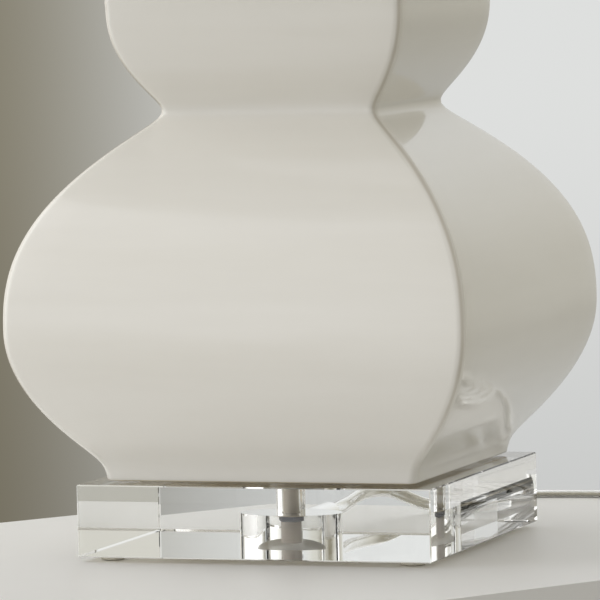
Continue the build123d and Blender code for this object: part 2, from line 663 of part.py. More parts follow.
# Bulb: contact tip, threaded base, glass envelope and the stem inside it
BULB_BASE_BOTTOM = BULB_BOTTOM + BULB_TIP_HEIGHT + BULB_SKIRT_HEIGHT
BULB_BASE_TOP = BULB_BASE_BOTTOM + BULB_BASE_HEIGHT
with BuildPart() as bulb_tip:
    with BuildSketch(Plane.XY.offset(BULB_BOTTOM)):
        Circle(BULB_TIP_DIA / 2)
    extrude(amount=BULB_TIP_HEIGHT)
    fillet(bulb_tip.edges().group_by(Axis.Z)[0], BULB_TIP_HEIGHT / 2)
bulb_tip.part.label = "bulb_tip"
export_step(bulb_tip.part, "parts/bulb_tip.step")

with BuildPart() as bulb_base:
    root_radius = BULB_BASE_DIA / 2 - BULB_THREAD_DEPTH
    with BuildSketch(Plane.XZ):
        with BuildLine():
            Polyline(
                (0, BULB_BASE_TOP),
                (0, BULB_BOTTOM + BULB_TIP_HEIGHT),
                (BULB_TIP_DIA / 2, BULB_BOTTOM + BULB_TIP_HEIGHT),
                (root_radius, BULB_BASE_BOTTOM),
                (root_radius, BULB_BASE_TOP),
                close=True,
            )
        make_face()
    revolve(axis=Axis.Z)
    for turn in range(int(BULB_BASE_HEIGHT / BULB_THREAD_PITCH)):
        with BuildSketch(Plane.XZ):
            with Locations((root_radius, BULB_BASE_BOTTOM + BULB_THREAD_LEAD + turn * BULB_THREAD_PITCH)):
                Ellipse(BULB_THREAD_DEPTH, BULB_THREAD_PITCH / 3)
        revolve(axis=Axis.Z)
bulb_base.part.label = "bulb_base"
export_step(bulb_base.part, "parts/bulb_base.step")

with BuildPart() as bulb_glass:
    globe_radius = BULB_DIA / 2
    globe_centre = BULB_TOP - globe_radius
    neck_radius = BULB_NECK_DIA / 2
    for inset in (0, BULB_WALL):
        with BuildSketch(Plane.XZ):
            with BuildLine():
                bottom = BULB_BASE_TOP + inset
                lean = radians(BULB_CHEEK_ANGLE)
                radius = globe_radius - inset
                peak = (0, globe_centre + radius)
                crown_point = (radius * cos(lean), globe_centre + radius * sin(lean))
                girth = (radius, globe_centre)
                below_girth = (radius * cos(lean / 2), globe_centre - radius * sin(lean / 2))
                cheek = (radius * cos(lean), globe_centre - radius * sin(lean))
                ThreePointArc(peak, crown_point, girth)
                ThreePointArc(girth, below_girth, cheek)
                Spline(
                    cheek,
                    (neck_radius - inset, bottom),
                    tangents=((-sin(lean), -cos(lean)), (0, -1)),
                )
                Polyline((neck_radius - inset, bottom), (0, bottom), peak)
            make_face()
        revolve(axis=Axis.Z, mode=Mode.ADD if inset == 0 else Mode.SUBTRACT)
bulb_glass.part.label = "bulb_glass"
export_step(bulb_glass.part, "parts/bulb_glass.step")

with BuildPart() as bulb_stem:
    stem_bottom = BULB_BASE_TOP + BULB_WALL
    stem_top = globe_centre
    with BuildSketch(Plane.XY.offset(stem_bottom)):
        Circle(STEM_FOOT_DIA / 2)
    with BuildSketch(Plane.XY.offset(stem_top)):
        Circle(STEM_TOP_DIA / 2)
    loft()
    with PolarLocations(STEM_ROD_CIRCLE_DIA / 2, STEM_RODS):
        with Locations((0, 0, globe_centre - STEM_ROD_DROP)):
            Cylinder(STEM_ROD_DIA / 2, STEM_ROD_LENGTH, align=LOW)
    with BuildSketch(Plane.XY.offset(stem_top)):
        Circle(STEM_DISC_DIA / 2)
    extrude(amount=STEM_DISC_THICK)
bulb_stem.part.label = "bulb_stem"
export_step(bulb_stem.part, "parts/bulb_stem.step")

# Shade skins: linen outside, a stiff liner behind it
for name, outer_inset, thick in (
    ("shade_linen", 0.0, LINEN_THICK),
    ("shade_liner", LINEN_THICK + SKIN_GAP, LINER_SKIN),
):
    with BuildPart() as shade_skin:
        with BuildSketch(Plane.XZ):
            with BuildLine():
                low = SHADE_BOTTOM_DIA / 2 - outer_inset
                high = SHADE_TOP_DIA / 2 - outer_inset
                Polyline(
                    (low, SHADE_BOTTOM),
                    (high, SHADE_TOP),
                    (high - thick, SHADE_TOP),
                    (low - thick, SHADE_BOTTOM),
                    close=True,
                )
            make_face()
        revolve(axis=Axis.Z)
    shade_skin.part.label = name
    export_step(shade_skin.part, f"parts/{name}.step")

# Folded cloth trims over the shade's two edges
SKIN_STACK = LINEN_THICK + SKIN_GAP + LINER_SKIN
for name, edge, inward in (("shade_top_trim", SHADE_TOP, -1), ("shade_bottom_trim", SHADE_BOTTOM, 1)):
    with BuildPart() as shade_trim:
        with BuildSketch(Plane.XZ):
            with BuildLine():
                fold = edge - inward * (SKIN_GAP + TRIM_THICK)
                crest = edge - inward * SKIN_GAP
                outer_end = edge + inward * TRIM_HEIGHT
                inner_end = edge + inward * TRIM_INSIDE
                gap_out = SKIN_GAP
                gap_in = SKIN_STACK + SKIN_GAP
                Polyline(
                    (shade_radius(fold) + gap_out + TRIM_THICK, fold),
                    (shade_radius(outer_end) + gap_out + TRIM_THICK, outer_end),
                    (shade_radius(outer_end) + gap_out, outer_end),
                    (shade_radius(crest) + gap_out, crest),
                    (shade_radius(crest) - gap_in, crest),
                    (shade_radius(inner_end) - gap_in, inner_end),
                    (shade_radius(inner_end) - gap_in - TRIM_THICK, inner_end),
                    (shade_radius(fold) - gap_in - TRIM_THICK, fold),
                    close=True,
                )
            make_face()
        revolve(axis=Axis.Z)
    shade_trim.part.label = name
    export_step(shade_trim.part, f"parts/{name}.step")

# Bottom wire ring, and the top ring with the spider welded to it
ring_depth = SKIN_STACK + SKIN_GAP + TRIM_THICK + SKIN_GAP + RING_WIRE / 2
bottom_ring_level = SHADE_BOTTOM + RING_INSET
top_ring_level = SHADE_TOP - RING_INSET
with BuildPart() as shade_bottom_ring:
    with BuildSketch(Plane.XZ):
        with Locations((shade_radius(bottom_ring_level) - ring_depth, bottom_ring_level)):
            Circle(RING_WIRE / 2)
    revolve(axis=Axis.Z)
shade_bottom_ring.part.label = "shade_bottom_ring"
export_step(shade_bottom_ring.part, "parts/shade_bottom_ring.step")

with BuildPart() as shade_spider:
    top_ring_radius = shade_radius(top_ring_level) - ring_depth
    with BuildSketch(Plane.XZ):
        with Locations((top_ring_radius, top_ring_level)):
            Circle(RING_WIRE / 2)
    revolve(axis=Axis.Z)
    arm_level = STUD_SEAT + SPIDER_EYE_THICK + RING_WIRE / 4
    for arm in range(SPIDER_ARMS):
        heading = radians(90 + 360 / SPIDER_ARMS * arm)
        along = [
            (SPIDER_EYE_DIA / 2 - RING_WIRE, arm_level),
            (top_ring_radius - SPIDER_KNEE, arm_level),
            (top_ring_radius, top_ring_level),
        ]
        with BuildLine() as arm_route:
            FilletPolyline(*[(r * cos(heading), r * sin(heading), z) for r, z in along], radius=SPIDER_KNEE)
        with BuildSketch(Plane(arm_route.line @ 0, z_dir=arm_route.line % 0)):
            Circle(RING_WIRE / 2)
        sweep()
    with BuildSketch(Plane.XY.offset(STUD_SEAT)):
        Circle(SPIDER_EYE_DIA / 2)
    extrude(amount=SPIDER_EYE_THICK)
    with BuildSketch(Plane.XY.offset(STUD_SEAT)):
        Circle(STUD_DIA / 2 + SPIDER_EYE_CLEARANCE)
    extrude(amount=SPIDER_EYE_THICK + RING_WIRE, mode=Mode.SUBTRACT)
shade_spider.part.label = "shade_spider"
export_step(shade_spider.part, "parts/shade_spider.step")

# Finial: threaded insert, metal base, clear ball
with BuildPart() as finial_insert:
    with BuildSketch(Plane.XY.offset(EYE_TOP + FINIAL_INSERT_LIFT)):
        Circle(FINIAL_INSERT_DIA / 2)
        Circle(STUD_DIA / 2 + RUNNING_FIT, mode=Mode.SUBTRACT)
    extrude(amount=STUD_LENGTH - FINIAL_INSERT_LIFT)
finial_insert.part.label = "finial_insert"
export_step(finial_insert.part, "parts/finial_insert.step")

with BuildPart() as finial_base:
    with BuildSketch(Plane.XZ):
        with BuildLine():
            base_low = (FINIAL_WAIST_DIA / 2, EYE_TOP)
            base_waist = (FINIAL_WAIST_DIA / 2, EYE_TOP + FINIAL_WAIST_HEIGHT)
            base_lip = (FINIAL_BASE_DIA / 2, FINIAL_BASE_TOP - FINIAL_LIP)
            Line(base_low, base_waist)
            Spline(base_waist, base_lip, tangents=((0, 1), (FINIAL_FLARE, 1)))
            base_rim = (FINIAL_BASE_DIA / 2, FINIAL_BASE_TOP)
            Polyline(base_lip, base_rim, (0, FINIAL_BASE_TOP), (0, EYE_TOP), base_low)
        make_face()
    revolve(axis=Axis.Z)
    with BuildSketch(Plane.XY.offset(EYE_TOP)):
        Circle(FINIAL_INSERT_DIA / 2 + RUNNING_FIT)
    extrude(amount=STUD_LENGTH + FIT, mode=Mode.SUBTRACT)
finial_base.part.label = "finial_base"
export_step(finial_base.part, "parts/finial_base.step")

with BuildPart() as finial_ball:
    ball_centre = FINIAL_BASE_TOP + FINIAL_BALL_DIA / 2 - FINIAL_FLAT
    with Locations((0, 0, ball_centre)):
        Sphere(FINIAL_BALL_DIA / 2)
    split(bisect_by=Plane.XY.offset(FINIAL_BASE_TOP), keep=Keep.TOP)
finial_ball.part.label = "finial_ball"
export_step(finial_ball.part, "parts/finial_ball.step")

# Cord inside the lamp: down the pipe, out of the bushing, and along the channel to the back face
BACK_FACE = BLOCK_WIDTH / 2
EXIT_POINT = (0, BACK_FACE, EXIT_LEVEL)
with BuildPart() as inner_cord:
    channel_route = [
        (0, 0, SWITCH_BOTTOM - FIT),
        (0, 0, CORD_LOW),
        (0, 18, CORD_LOW),
        (0, BACK_FACE - 35, 8.4),
        (0, BACK_FACE - 15, 9.7),
        EXIT_POINT,
    ]
    with BuildLine() as inner_route:
        FilletPolyline(*channel_route, radius=[CORD_BEND] + route_radii(channel_route)[1:])
    with BuildSketch(Plane.XY.offset(SWITCH_BOTTOM - FIT)):
        SlotOverall(CORD_WIDTH, CORD_THICK)
    sweep()
inner_cord.part.label = "inner_cord"
export_step(inner_cord.part, "parts/inner_cord.step")

# Free cord from the back face to the coil on the table
COIL_Y = BACK_FACE + COIL_BEHIND_BLOCK
COIL_PITCH = CORD_WIDTH + COIL_GAP
COIL_LOW = TIE_LIFT + TIE_THICK + TIE_CLEARANCE + CORD_WIDTH / 2
COIL_HIGH = COIL_LOW + COIL_PITCH
COIL_TOP = (COIL_X - COIL_PITCH / 4, COIL_Y + COIL_RADIUS - COIL_PITCH / 4, COIL_LOW)
COIL_ENTRY = (COIL_TOP[0] - CORD_WIDTH, COIL_TOP[1], COIL_LOW)
FREE_ROUTE = [
    EXIT_POINT,
    (0, BACK_FACE + 14, 11.0),
    (-1.8, BACK_FACE + 30, 11.0),
    (-3.4, BACK_FACE + 47, 11.8),
    (-3.4, BACK_FACE + 64, 12.2),
    (1.6, BACK_FACE + 76.5, 11.2),
    (7.6, BACK_FACE + 84, 7.6),
    (13.5, BACK_FACE + 92, 3.6),
    (23, BACK_FACE + 101, 2.9),
    (37, BACK_FACE + 108, 2.9),
    (56, BACK_FACE + 111.6, 2.9),
    (80, BACK_FACE + 112, 3.0),
    (103, BACK_FACE + 110.7, 3.4),
    (COIL_ENTRY[0] - 13, COIL_ENTRY[1], COIL_LOW),
    COIL_ENTRY,
]
with BuildPart() as cord_run:
    run_radii = route_radii(FREE_ROUTE)
    with BuildLine() as free_route:
        FilletPolyline(*FREE_ROUTE, radius=run_radii)
    with BuildSketch(Plane(free_route.line @ 0, z_dir=free_route.line % 0)):
        Circle(CORD_WIDTH / 2)
    sweep()
cord_run.part.label = "cord_run"
export_step(cord_run.part, "parts/cord_run.step")


def coil_ends():
    """Where the coil's half turns end, along X from its centre, and at which height."""
    ends = []
    for half in range(1, COIL_HALF_TURNS + 1):
        ends.append((-((-1) ** half) * (COIL_RADIUS - half * COIL_PITCH / 2), COIL_LOW))
    inner = ends[-1][0]
    ends.append((-inner, COIL_HIGH))
    for half in range(1, COIL_HALF_TURNS + 1):
        radius = abs(inner) + half * COIL_PITCH / 2
        ends.append((((-1) ** half) * radius * (1 if inner < 0 else -1), COIL_HIGH))
    return ends


# Put-away coil: a quarter turn, then two layers that spiral in and out, climbing in the innermost half turn
with BuildPart() as cord_coil:
    with BuildLine() as coil_route:
        Line(COIL_ENTRY, COIL_TOP)
        TangentArc(COIL_TOP, (COIL_X + coil_ends()[0][0], COIL_Y, COIL_LOW), tangent=(1, 0, 0))
        heading = -1
        for (start_x, start_z), (end_x, end_z) in zip(coil_ends(), coil_ends()[1:]):
            start = Vector(COIL_X + start_x, COIL_Y, start_z)
            end = Vector(COIL_X + end_x, COIL_Y, end_z)
            if start_z == end_z:
                TangentArc(start, end, tangent=(0, heading, 0))
            else:
                rise = (end_z - start_z) / 2
                middle = Vector(COIL_X, COIL_Y + heading * sqrt(start_x**2 + rise**2), start_z + rise)
                climb = TangentArc(start, middle, tangent=(0, heading, 0))
                TangentArc(middle, end, tangent=climb % 1)
            heading = -heading
        tail_start = Vector(COIL_X + COIL_RADIUS, COIL_Y, COIL_HIGH)
        Line(tail_start, tail_start + Vector(0, heading * CORD_WIDTH, 0))
    with BuildSketch(Plane(coil_route.line @ 0, z_dir=coil_route.line % 0)):
        Circle(CORD_WIDTH / 2)
    sweep()
cord_coil.part.label = "cord_coil"
export_step(cord_coil.part, "parts/cord_coil.step")

# Tie round the coil's turns, on the side where it does not climb
TIE_INNER = COIL_RADIUS - (2 * COIL_HALF_TURNS - 1) * COIL_PITCH / 4 - CORD_WIDTH / 2 - TIE_SLACK
TIE_OUTER = COIL_RADIUS - 3 * COIL_PITCH / 4 + CORD_WIDTH / 2 + TIE_SLACK
with BuildPart() as cord_tie:
    tie_low = COIL_LOW - CORD_WIDTH / 2 - TIE_CLEARANCE
    tie_high = COIL_HIGH + CORD_WIDTH / 2 + TIE_CLEARANCE
    with BuildSketch(Plane.YZ.offset(COIL_X - TIE_WIDTH / 2)):
        with Locations((COIL_Y - (TIE_INNER + TIE_OUTER) / 2, (tie_low + tie_high) / 2)):
            hole_width = TIE_OUTER - TIE_INNER
            hole_height = tie_high - tie_low
            RectangleRounded(hole_width + 2 * TIE_THICK, hole_height + 2 * TIE_THICK, 3 * TIE_THICK)
            RectangleRounded(hole_width, hole_height, 2 * TIE_THICK, mode=Mode.SUBTRACT)
    extrude(amount=TIE_WIDTH)
cord_tie.part.label = "cord_tie"
export_step(cord_tie.part, "parts/cord_tie.step")

# Cord's tail from the coil down to the plug
PLUG_LEVEL = PLUG_THICK / 2
TAIL_X = COIL_X + COIL_RADIUS
TAIL_ROUTE = [
    (TAIL_X, COIL_Y - CORD_WIDTH, COIL_HIGH),
    (TAIL_X, COIL_Y - CORD_WIDTH - 9, COIL_HIGH),
    (TAIL_X, COIL_Y - CORD_WIDTH - 21, PLUG_LEVEL),
    (TAIL_X, COIL_Y - CORD_WIDTH - 30, PLUG_LEVEL),
]
with BuildPart() as cord_tail:
    tail_radii = route_radii(TAIL_ROUTE)
    with BuildLine() as tail_route:
        FilletPolyline(*TAIL_ROUTE, radius=tail_radii)
    with BuildSketch(Plane(tail_route.line @ 0, z_dir=tail_route.line % 0)):
        Circle(CORD_WIDTH / 2)
    sweep()
cord_tail.part.label = "cord_tail"
export_step(cord_tail.part, "parts/cord_tail.step")

# Moulded plug with a tapered relief, lying beside the coil
PLUG_START = TAIL_ROUTE[-1][1]
with BuildPart() as plug_body:
    with BuildSketch(Plane.XZ.offset(-PLUG_START)):
        with Locations((TAIL_X, PLUG_LEVEL)):
            RectangleRounded(RELIEF_WIDTH, RELIEF_WIDTH, RELIEF_ROUND)
    with BuildSketch(Plane.XZ.offset(-PLUG_START + RELIEF_LENGTH)):
        with Locations((TAIL_X, PLUG_LEVEL)):
            RectangleRounded(RELIEF_END_WIDTH, RELIEF_END_THICK, RELIEF_ROUND)
    loft()
    with BuildSketch(Plane.XZ.offset(-PLUG_START + RELIEF_LENGTH)):
        with Locations((TAIL_X, PLUG_LEVEL)):
            RectangleRounded(PLUG_WIDTH, PLUG_THICK, PLUG_ROUND)
    extrude(amount=PLUG_LENGTH)
plug_body.part.label = "plug_body"
export_step(plug_body.part, "parts/plug_body.step")

with BuildPart() as plug_blades:
    for side, blade_width in zip((-1, 1), BLADE_WIDTHS):
        with BuildSketch(Plane.XZ.offset(-PLUG_START + RELIEF_LENGTH + PLUG_LENGTH)):
            with Locations((TAIL_X + side * BLADE_SPACING / 2, PLUG_LEVEL)):
                Rectangle(BLADE_THICK, blade_width)
        extrude(amount=BLADE_LENGTH)
plug_blades.part.label = "plug_blades"
export_step(plug_blades.part, "parts/plug_blades.step")


def self_gap(line, count, skip):
    """Least gap between two stretches of one tube, on points along its line."""
    points = [line @ (k / count) for k in range(count + 1)]
    nearest = min(
        (points[a] - points[b]).length for a in range(count + 1) for b in range(a + skip, count + 1)
    )
    return nearest - CORD_WIDTH


print("cord run radii", [round(radius, 1) for radius in run_radii])
print("cord tail radii", [round(radius, 1) for radius in tail_radii])
coil_length = coil_route.wire().length
coil_points = 900
own_turn = int(coil_points * pi * COIL_RADIUS / 2 / coil_length)
print("coil gap to itself", round(self_gap(coil_route.wire(), coil_points, own_turn), 2))
routes = (inner_route, free_route, coil_route, tail_route)
print("cord lengths", [round(route.wire().length) for route in routes])
for piece, route in ((cord_run, free_route), (cord_coil, coil_route), (cord_tail, tail_route)):
    tube_volume = pi * CORD_WIDTH**2 / 4 * route.wire().length
    print(piece.part.label, "volume share", round(piece.part.volume / tube_volume, 4))
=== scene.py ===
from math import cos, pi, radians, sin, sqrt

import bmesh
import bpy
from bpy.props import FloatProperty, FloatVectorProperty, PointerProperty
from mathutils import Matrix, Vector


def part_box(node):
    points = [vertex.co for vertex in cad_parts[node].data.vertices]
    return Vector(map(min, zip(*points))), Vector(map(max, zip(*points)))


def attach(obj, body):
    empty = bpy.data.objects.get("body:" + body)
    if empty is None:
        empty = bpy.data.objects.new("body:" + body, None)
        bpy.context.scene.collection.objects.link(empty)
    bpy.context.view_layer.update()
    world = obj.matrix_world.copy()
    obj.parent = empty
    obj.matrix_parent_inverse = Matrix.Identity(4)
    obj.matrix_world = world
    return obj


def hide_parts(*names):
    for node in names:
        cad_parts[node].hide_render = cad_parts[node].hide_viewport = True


bl_info = {
    "name": "Gourd Table Lamp",
    "version": (1, 0, 0),
    "blender": (4, 5, 0),
    "location": "View3D > Sidebar > Gourd Lamp",
    "description": "Dresses the frame of a square double-gourd table lamp on a clear block",
    "category": "Object",
}

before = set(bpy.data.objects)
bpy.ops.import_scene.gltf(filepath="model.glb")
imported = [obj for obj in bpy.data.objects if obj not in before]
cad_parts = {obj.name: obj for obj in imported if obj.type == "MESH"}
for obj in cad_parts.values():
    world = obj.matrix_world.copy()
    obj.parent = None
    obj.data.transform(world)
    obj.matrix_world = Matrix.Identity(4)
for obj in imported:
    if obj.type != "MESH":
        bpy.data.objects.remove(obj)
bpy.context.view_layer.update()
BLOCK_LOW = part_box("acrylic_block")[0]
BODY_LOW, BODY_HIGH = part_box("ceramic_body")
SHADE_LOW, SHADE_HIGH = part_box("shade_linen")
BALL_LOW, BALL_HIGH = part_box("finial_ball")
PLUG_LOW, PLUG_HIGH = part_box("plug_body")
KNOB_LOW, KNOB_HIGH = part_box("switch_knob")

# Glazed body: half widths and levels above its foot, in metres
FOOT_HALF = 0.06525
TUCK_HALF = 0.057
BELLY_HALF = 0.097
NECK_HALF = 0.046
SHOULDER_HALF = 0.06285
COLLAR_HALF = 0.022
BELLY_LEVEL = 0.0632
NECK_LEVEL = 0.1482
SHOULDER_LEVEL = 0.1919
FOOT_BLEND = 0.0047
NECK_BLEND = 0.0096
COLLAR_BLEND = 0.006
BODY_WALL = 0.006
BODY_EDGE_ROUND = 0.0036
FOOT_HOLE_RADIUS = 0.008
MOUTH_RADIUS = 0.015
# Height of the paler band of painted light above the foot
PAINTED_FOOT_LIGHT_HEIGHT = 0.045

# Shade: how much smaller its radius is at the top, and the linen's thickness
SHADE_TAPER = 0.0245
LINEN_THICK = 0.0006

# Cord: where it leaves the block, and its put-away coil
CORD_EXIT = (0.0, 0.075, 0.0105)
COIL_CENTRE = (0.139, 0.140)
COIL_RADIUS = 0.0465
COIL_PITCH = 0.0076
COIL_HALF_TURNS = 8
COIL_STEPS = 8
STRANDS = 5

# Gap that keeps the block's polish whole above and below the pieces that touch it
POLISH_GAP = 0.0001

# The floor's corners, level and thickness, in metres
FLOOR_CORNERS = ((-2.10, -2.85), (-1.567, -2.85), (0.3366, 0.196), (-0.0674, 0.196))
FLOOR_LEVEL = -0.0001
FLOOR_THICK = 0.03

# Soft lamps round the lamp: turn to the right of its front, rise and spread in degrees, strength
SOFT_LAMPS = (
    (-22, 5, 45, 0.565),
    (-60, 30, 40, 0.58),
    (-95, 18, 60, 1.25),
    (-140, 30, 40, 0.12),
    (75, 15, 40, 0.37),
    (165, 35, 40, 0.16),
    (35, 25, 40, 0.20),
    (10, 85, 60, 0.34),
)


def smooth_max(first, second, blend):
    """The larger of two widths, with the corner between them rounded off."""
    return (first + second + sqrt((first - second) ** 2 + blend**2)) / 2


def gourd_half_width(level):
    """Half the body's width at a level above its foot: two bulges that run together at the neck."""
    neck = NECK_HALF - NECK_BLEND / 2
    if level < BELLY_LEVEL:
        below = (BELLY_LEVEL - level) / BELLY_LEVEL
        lower = smooth_max(BELLY_HALF - (BELLY_HALF - TUCK_HALF) * below**2.0, FOOT_HALF, FOOT_BLEND)
    else:
        above = (level - BELLY_LEVEL) / (NECK_LEVEL - BELLY_LEVEL)
        widest = smooth_max(BELLY_HALF, FOOT_HALF, FOOT_BLEND)
        lower = widest - (widest - neck) * above**2.45
    away = abs(SHOULDER_LEVEL - level) / (SHOULDER_LEVEL - NECK_LEVEL)
    upper = SHOULDER_HALF - (SHOULDER_HALF - neck) * away**2.25
    if level > SHOULDER_LEVEL:
        upper = smooth_max(upper, COLLAR_HALF, COLLAR_BLEND)
    return smooth_max(lower, upper, NECK_BLEND)


def colour_setting(name, description, colour):
    return FloatVectorProperty(
        name=name, description=description, subtype="COLOR", size=4, default=(*colour, 1)
    )


def length_setting(name, description, metres):
    return FloatProperty(name=name, description=description, default=metres, unit="LENGTH")


def angle_setting(name, description, degrees):
    return FloatProperty(name=name, description=description, default=radians(degrees), subtype="ANGLE")


class CameraSettings(bpy.types.PropertyGroup):
    azimuth: angle_setting("Azimuth", "How far the camera stands round to the right of the front", 18.78)
    pitch: angle_setting("Pitch", "How far the camera looks down", 4.11)
    roll: angle_setting("Roll", "How far the camera leans", -1.25)
    distance: length_setting("Distance", "From the camera to the lamp's axis", 2.319)
    aside: length_setting("Aside", "How far the camera is moved to its right", -0.0051)
    raised: length_setting("Raised", "How far the camera is moved up", 0.0987)
    lens: FloatProperty(name="Lens", description="Focal length in millimetres", default=336.7)


class GlazeSettings(bpy.types.PropertyGroup):
    colour: colour_setting("Glaze", "Colour of the glaze", (0.785, 0.762, 0.702))
    # Paler level streaks: painted reflections of the room in the wavy glaze
    reflection_streak_colour: colour_setting("Streaks", "Colour of the thicker, paler streaks", (0.84, 0.82, 0.77))
    # Darker brown along the upright edges: painted shade standing in for the dark reflection of the room on
    # the rounded edges
    painted_edge_shade_colour: colour_setting(
        "Edges", "Colour of the clay where the glaze is thin on the upright edges", (0.38, 0.33, 0.24)
    )
    edge_width: length_setting("Edge width", "Width of the thin glaze", 0.0019)
    # Paler glaze above the foot: painted light standing in for light thrown up by the clear block
    painted_foot_light_colour: colour_setting(
        "Pooled glaze", "Colour of the glaze where it pools above the foot", (0.93, 0.91, 0.86)
    )
    clay_colour: colour_setting("Clay", "Colour of the bare clay under the foot", (0.72, 0.60, 0.40))


class ShadeSettings(bpy.types.PropertyGroup):
    colour: colour_setting("Linen", "Colour of the linen", (0.80, 0.77, 0.69))
    slub_colour: colour_setting("Slubs", "Colour of the thick threads", (0.70, 0.66, 0.57))
    thread: length_setting("Thread", "Spacing of the threads", 0.0011)
    lap: length_setting("Lap", "How far the linen laps over itself", 0.012)


class CordSettings(bpy.types.PropertyGroup):
    width: length_setting("Width", "Width of the flat cord", 0.0056)
    thick: length_setting("Thickness", "Thickness of the cord", 0.0028)
    core: length_setting("Core", "Diameter of a conductor", 0.0019)
    length: length_setting("Length", "Free length of the cord", 1.80)


class StageSettings(bpy.types.PropertyGroup):
    floor_colour: colour_setting("Floor", "Colour of the floor", (0.802, 0.798, 0.784))
    air_colour: colour_setting("Air", "Colour of the light in front", (0.34, 0.335, 0.32))
    ceiling_colour: colour_setting("Ceiling", "Colour of the light above", (0.33, 0.325, 0.313))
    right_colour: colour_setting("Right side", "Colour of the dim right side", (0.245, 0.222, 0.155))
    left_wall_colour: colour_setting("Left wall", "Colour behind at the left", (0.215, 0.195, 0.140))
    right_wall_colour: colour_setting("Right wall", "Colour behind at the right", (0.73, 0.74, 0.73))
    far_right_colour: colour_setting(
        "Far right", "Colour of the wall far to the right", (0.56, 0.545, 0.475)
    )
    air_strength: FloatProperty(name="Air strength", description="Strength of all the light", default=1.0)


def place(tree, kind, values=None, **settings):
    """A node of that kind, with its settings, and its inputs set or linked by name or number."""
    node = tree.nodes.new(kind)
    for name, value in settings.items():
        setattr(node, name, value)
    for name, value in (values or {}).items():
        if isinstance(value, bpy.types.NodeSocket):
            tree.links.new(value, node.inputs[name])
        else:
            node.inputs[name].default_value = value
    return node


def maths(tree, operation, *values):
    """The result of a sum on numbers or sockets."""
    return place(tree, "ShaderNodeMath", dict(enumerate(values)), operation=operation).outputs[0]


def mixed(tree, share, first, second):
    """A colour between two colours."""
    return place(tree, "ShaderNodeMix", {0: share, 6: first, 7: second}, data_type="RGBA").outputs[2]


def ranged(tree, value, low, high, first=0.0, last=1.0, eased=False):
    """A value taken from one range to another, and held at its ends."""
    return place(
        tree,
        "ShaderNodeMapRange",
        {"Value": value, "From Min": low, "From Max": high, "To Min": first, "To Max": last},
        interpolation_type="SMOOTHSTEP" if eased else "LINEAR",
    ).outputs["Result"]


def clouds(tree, points, scale, detail):
    """A drifting value from 0 to 1."""
    values = {"Vector": points, "Scale": scale, "Detail": detail}
    return place(tree, "ShaderNodeTexNoise", values).outputs["Fac"]


def stretched(tree, points, scale):
    """Points scaled apart along each axis."""
    return place(tree, "ShaderNodeMapping", {"Vector": points, "Scale": scale}).outputs[0]


def group_tree(name, inputs, outputs):
    """A shader node group with named sockets, and its two end nodes."""
    tree = bpy.data.node_groups.new(name, "ShaderNodeTree")
    for sockets, way in ((inputs, "INPUT"), (outputs, "OUTPUT")):
        for title, kind in sockets.items():
            tree.interface.new_socket(title, in_out=way, socket_type="NodeSocket" + kind)
    return tree, tree.nodes.new("NodeGroupInput"), tree.nodes.new("NodeGroupOutput")


def variation_group():
    """Drifting tone, uneven polish and a fine height, all from one cloud of noise."""
    name = "Surface variation"
    if name in bpy.data.node_groups:
        return bpy.data.node_groups[name]
    tree, start, end = group_tree(
        name,
        {
            "Vector": "Vector",
            "Scale": "Float",
            "First Colour": "Color",
            "Second Colour": "Color",
            "Least Roughness": "Float",
            "Most Roughness": "Float",
        },
        {"Colour": "Color", "Roughness": "Float", "Height": "Float"},
    )
    given = start.outputs
    values = {"Vector": given["Vector"], "Scale": given["Scale"], "Detail": 5.0, "Roughness": 0.55}
    cloud = place(tree, "ShaderNodeTexNoise", values).outputs["Fac"]
    spread = ranged(tree, cloud, 0.3, 0.7)
    tone = mixed(tree, spread, given["First Colour"], given["Second Colour"])
    polish = ranged(tree, spread, 0.0, 1.0, given["Least Roughness"], given["Most Roughness"])
    for title, value in (("Colour", tone), ("Roughness", polish), ("Height", cloud)):
        tree.links.new(value, end.inputs[title])
    return tree


def weave_group():
    """Over-and-under threads with slubs, on a map in metres."""
    name = "Linen weave"
    if name in bpy.data.node_groups:
        return bpy.data.node_groups[name]
    tree, start, end = group_tree(
        name, {"Vector": "Vector", "Threads per metre": "Float"}, {"Height": "Float", "Slub": "Float"}
    )
    points = start.outputs["Vector"]
    turns = maths(tree, "MULTIPLY", start.outputs["Threads per metre"], pi)
    drift = maths(tree, "MULTIPLY", clouds(tree, points, 380.0, 3.0), 0.0030)
    flat = place(tree, "ShaderNodeSeparateXYZ", {0: points})
    waves = []
    streaks = []
    for axis, stretch in (("X", (900.0, 14.0, 1.0)), ("Y", (14.0, 900.0, 1.0))):
        wavering = maths(tree, "ADD", flat.outputs[axis], drift)
        waves.append(maths(tree, "SINE", maths(tree, "MULTIPLY", wavering, turns)))
        streak = clouds(tree, stretched(tree, points, stretch), 1.0, 3.0)
        streaks.append(ranged(tree, streak, 0.5, 0.72))
    slub = maths(tree, "MAXIMUM", *streaks)
    height = maths(tree, "MULTIPLY_ADD", slub, 0.8, maths(tree, "MULTIPLY", *waves))
    tree.links.new(height, end.inputs["Height"])
    tree.links.new(slub, end.inputs["Slub"])
    return tree


def new_material(name):
    """An empty node material, its tree and its Principled shader."""
    material = bpy.data.materials.new(name)
    material.use_nodes = True
    tree = material.node_tree
    return material, tree, tree.nodes["Principled BSDF"]


def object_points(tree):
    return tree.nodes.new("ShaderNodeTexCoord").outputs["Object"]


def bump(tree, shader, height, strength, distance):
    """Feeds a height to the shader's normal."""
    node = place(tree, "ShaderNodeBump", {"Height": height, "Strength": strength, "Distance": distance})
    tree.links.new(node.outputs["Normal"], shader.inputs["Normal"])


